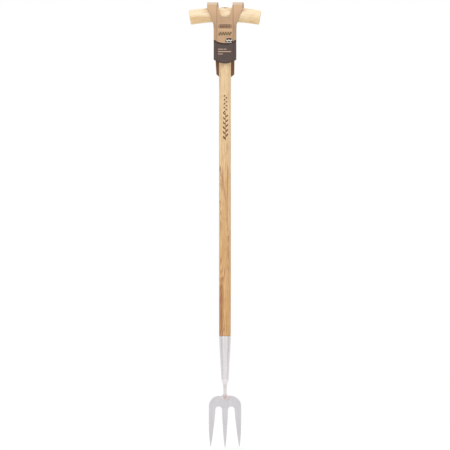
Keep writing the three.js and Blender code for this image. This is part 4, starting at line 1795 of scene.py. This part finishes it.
    def _print_marks(self) -> None:
        """Prints plain ornaments on the front panel: a framed row of leaves, a vine, a badge and bars."""
        badge = 43.6
        for mark, layer, name, colour in (
            (self._frame_mark(77.8), 1, "print_brown", display(84, 58, 42)),
            (self._dash_mark(69.3), 1, "print_tan", display(232, 192, 146)),
            (self._vine_mark(60.3), 1, "print_olive", display(88, 78, 44)),
            (self._badge_mark(badge), 1, "print_black", display(38, 32, 30)),
            (self._badge_leaves(badge), 2, "print_white", display(240, 232, 222)),
            (self._bar_mark(), 1, "print_pale", display(196, 168, 148)),
        ):
            ink = Ink(name, colour, mottle=0.3, roughness=0.82).make()
            lift = self.print_lift + (layer - 1) * self.print_layer
            surface = partial(self._front_face, lift=lift)
            finish_piece(wrap(mark, surface), f"sleeve_{name}", [ink], SLEEVE, sharp=80.0)

    @staticmethod
    def _frame_mark(height: float) -> BMesh:
        """Returns a rounded frame round a row of upright leaves."""
        bm = bmesh.new()
        middle = faces_of(lozenge(bm, (0.0, height), half_width=15.5, half_height=4.3, sides=32))
        bmesh.ops.inset_individual(bm, faces=middle, thickness=1.3, use_even_offset=True)
        bmesh.ops.delete(bm, geom=middle, context="FACES_ONLY")
        for x in spread(-10.5, 10.5, 6, closed=True):
            leaf(bm, (x, height), (3.0, 5.4), -14.0)
        return bm

    @staticmethod
    def _dash_mark(height: float) -> BMesh:
        """Returns a row of short pale dashes."""
        bm = bmesh.new()
        for x in spread(-14.5, 14.5, 7, closed=True):
            bar(bm, x - 1.75, x + 1.75, height, thickness=1.8)
        return bm

    @staticmethod
    def _vine_mark(height: float) -> BMesh:
        """Returns a vine, its leaves on each side of the stem in turn."""
        bm = bmesh.new()
        bar(bm, -15.0, 15.0, height, thickness=0.55)
        for step, x in enumerate(spread(-13.5, 13.5, 9, closed=True)):
            side = 1 if step % 2 else -1
            leaf(bm, (x, height + side * 2.0), (3.3, 5.8), -48.0 * side, vein=0.1)
        return bm

    @staticmethod
    def _badge_mark(height: float) -> BMesh:
        """Returns the dark ground of the badge."""
        bm = bmesh.new()
        lozenge(bm, (9.4, height), half_width=8.8, half_height=6.2, sides=36)
        return bm

    @staticmethod
    def _badge_leaves(height: float) -> BMesh:
        """Returns two pale sprouts and the ground that they stand on, inside the badge."""
        bm = bmesh.new()
        for middle in (5.6, 13.2):
            for side in (-1, 1):
                leaf(bm, (middle + side * 1.9, height + 1.0), (2.8, 5.4), -40.0 * side)
            leaf(bm, (middle, height - 1.6), (0.9, 4.2), 0.0, vein=0.0)
        bar(bm, 2.8, 16.0, height - 4.2, thickness=1.0)
        return bm

    @staticmethod
    def _bar_mark() -> BMesh:
        """Returns four plain bars on the dark band, from their ends, heights and thicknesses."""
        bm = bmesh.new()
        for left, right, height, thickness in (
            (-16.5, -4.0, 24.0, 1.9),
            (-3.0, 3.5, 24.0, 1.9),
            (-16.5, 14.5, 18.4, 2.2),
            (-16.5, -5.0, 12.8, 1.9),
        ):
            bar(bm, left, right, height, thickness)
        return bm


# ------------------------------------------------------------------ the studio


def grey(level: float) -> Colour:
    """Returns a plain grey."""
    return level, level, level, 1.0


@dataclass
class Studio:
    """A pale floor, a soft white surround, two soft lights and the camera."""

    distance: float = 10.0
    eye_z: float = 0.5235
    field: float = 1.059
    floor_z: float = -6 * MM
    floor_radius: float = 1.3
    floor_shade: float = 0.88
    level: float = 1.02
    overhead: float = 0.16
    behind: float = 0.86
    panels: tuple[Point, ...] = ((0.0, 0.68), (0.07, 0.74), (0.2, 0.95), (0.6, 0.95), (0.85, 0.7), (1.0, 0.6))
    lit_place: Place = (0.0, 0.0, 0.6)

    def build(self) -> None:
        """Builds the studio."""
        bpy.context.scene.view_settings.view_transform = "Standard"
        self._surround()
        self._floor()
        self._soft_light("key_light", (-0.6, -1.9, 3.4), size=1.8, power=24.0)
        self._soft_light("fill_light", (0.6, 2.2, 2.0), size=1.6, power=12.0)
        self._camera()

    def _surround(self) -> None:
        """Makes the surround: white to the eye, with softer panels for the steel to mirror."""
        world = bpy.data.worlds.new("white_surround")
        bpy.context.scene.world = world
        sheet = NodeSheet(world)
        x, y, z = sheet.split(sheet.add("ShaderNodeTexCoord", {}).outputs["Generated"])
        panels = sheet.ramp(sheet.calc("ABSOLUTE", x), [(at, grey(light)) for at, light in self.panels])
        around = sheet.blend(sheet.levels(y, (-0.15, 0.2)), panels, grey(self.behind))
        strength = sheet.plus(sheet.times(z, self.overhead), self.level)
        lit = sheet.add("ShaderNodeBackground", {"Color": around, "Strength": strength})
        seen = sheet.add("ShaderNodeBackground", {"Color": grey(1.0)})
        by_camera = sheet.add("ShaderNodeLightPath", {}).outputs["Is Camera Ray"]
        chosen = {0: by_camera, 1: lit.outputs["Background"], 2: seen.outputs["Background"]}
        shader = sheet.add("ShaderNodeMixShader", chosen).outputs["Shader"]
        sheet.add("ShaderNodeOutputWorld", {"Surface": shader})

    def _floor(self) -> None:
        """Makes the round pale floor."""
        bm = bmesh.new()
        verts = disc(bm, self.floor_radius, sides=64)
        bmesh.ops.translate(bm, verts=verts, vec=(0.0, 0.0, self.floor_z))
        mesh = bpy.data.meshes.new("studio_floor")
        bm.to_mesh(mesh)
        bm.free()
        matte = FinishSheet("studio_floor")
        matte.shade(Base_Color=grey(self.floor_shade), Roughness=0.9)
        mesh.materials.append(matte.material)
        stand("studio_floor", mesh)

    def _soft_light(self, name: str, place: Place, size: float, power: float) -> None:
        """Hangs a square soft light that the camera doesn't see.

        Args:
            name: The light's name.
            place: Where it hangs.
            size: The length of its side.
            power: Its power, in watts.
        """
        light = bpy.data.lights.new(name, "AREA")
        light.size = size
        light.energy = power
        lamp = stand(name, light, place)
        lamp.rotation_euler = (Vector(self.lit_place) - Vector(place)).to_track_quat("-Z", "Y").to_euler()
        lamp.visible_camera = False

    def _camera(self) -> None:
        """Stands the camera level in front of the fork, behind a long lens."""
        camera = bpy.data.cameras.new("camera")
        camera.sensor_width = 36.0
        camera.lens = camera.sensor_width * self.distance / self.field
        camera.clip_end = 10 * self.distance
        eye = stand("camera", camera, (0.0, -self.distance, self.eye_z))
        eye.rotation_euler = (math.pi / 2, 0.0, 0.0)
        bpy.context.scene.camera = eye


def main() -> None:
    """Builds the whole scene."""
    logging.basicConfig(level=logging.INFO, format="%(message)s")
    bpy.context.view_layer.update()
    for part in (Studio(), ForkHead(), Neck(), Socket(), Shaft(), Grip(), CardSleeve()):
        LOG.info("building %s", type(part).__name__)
        part.build()


if __name__ == "__main__":
    main()
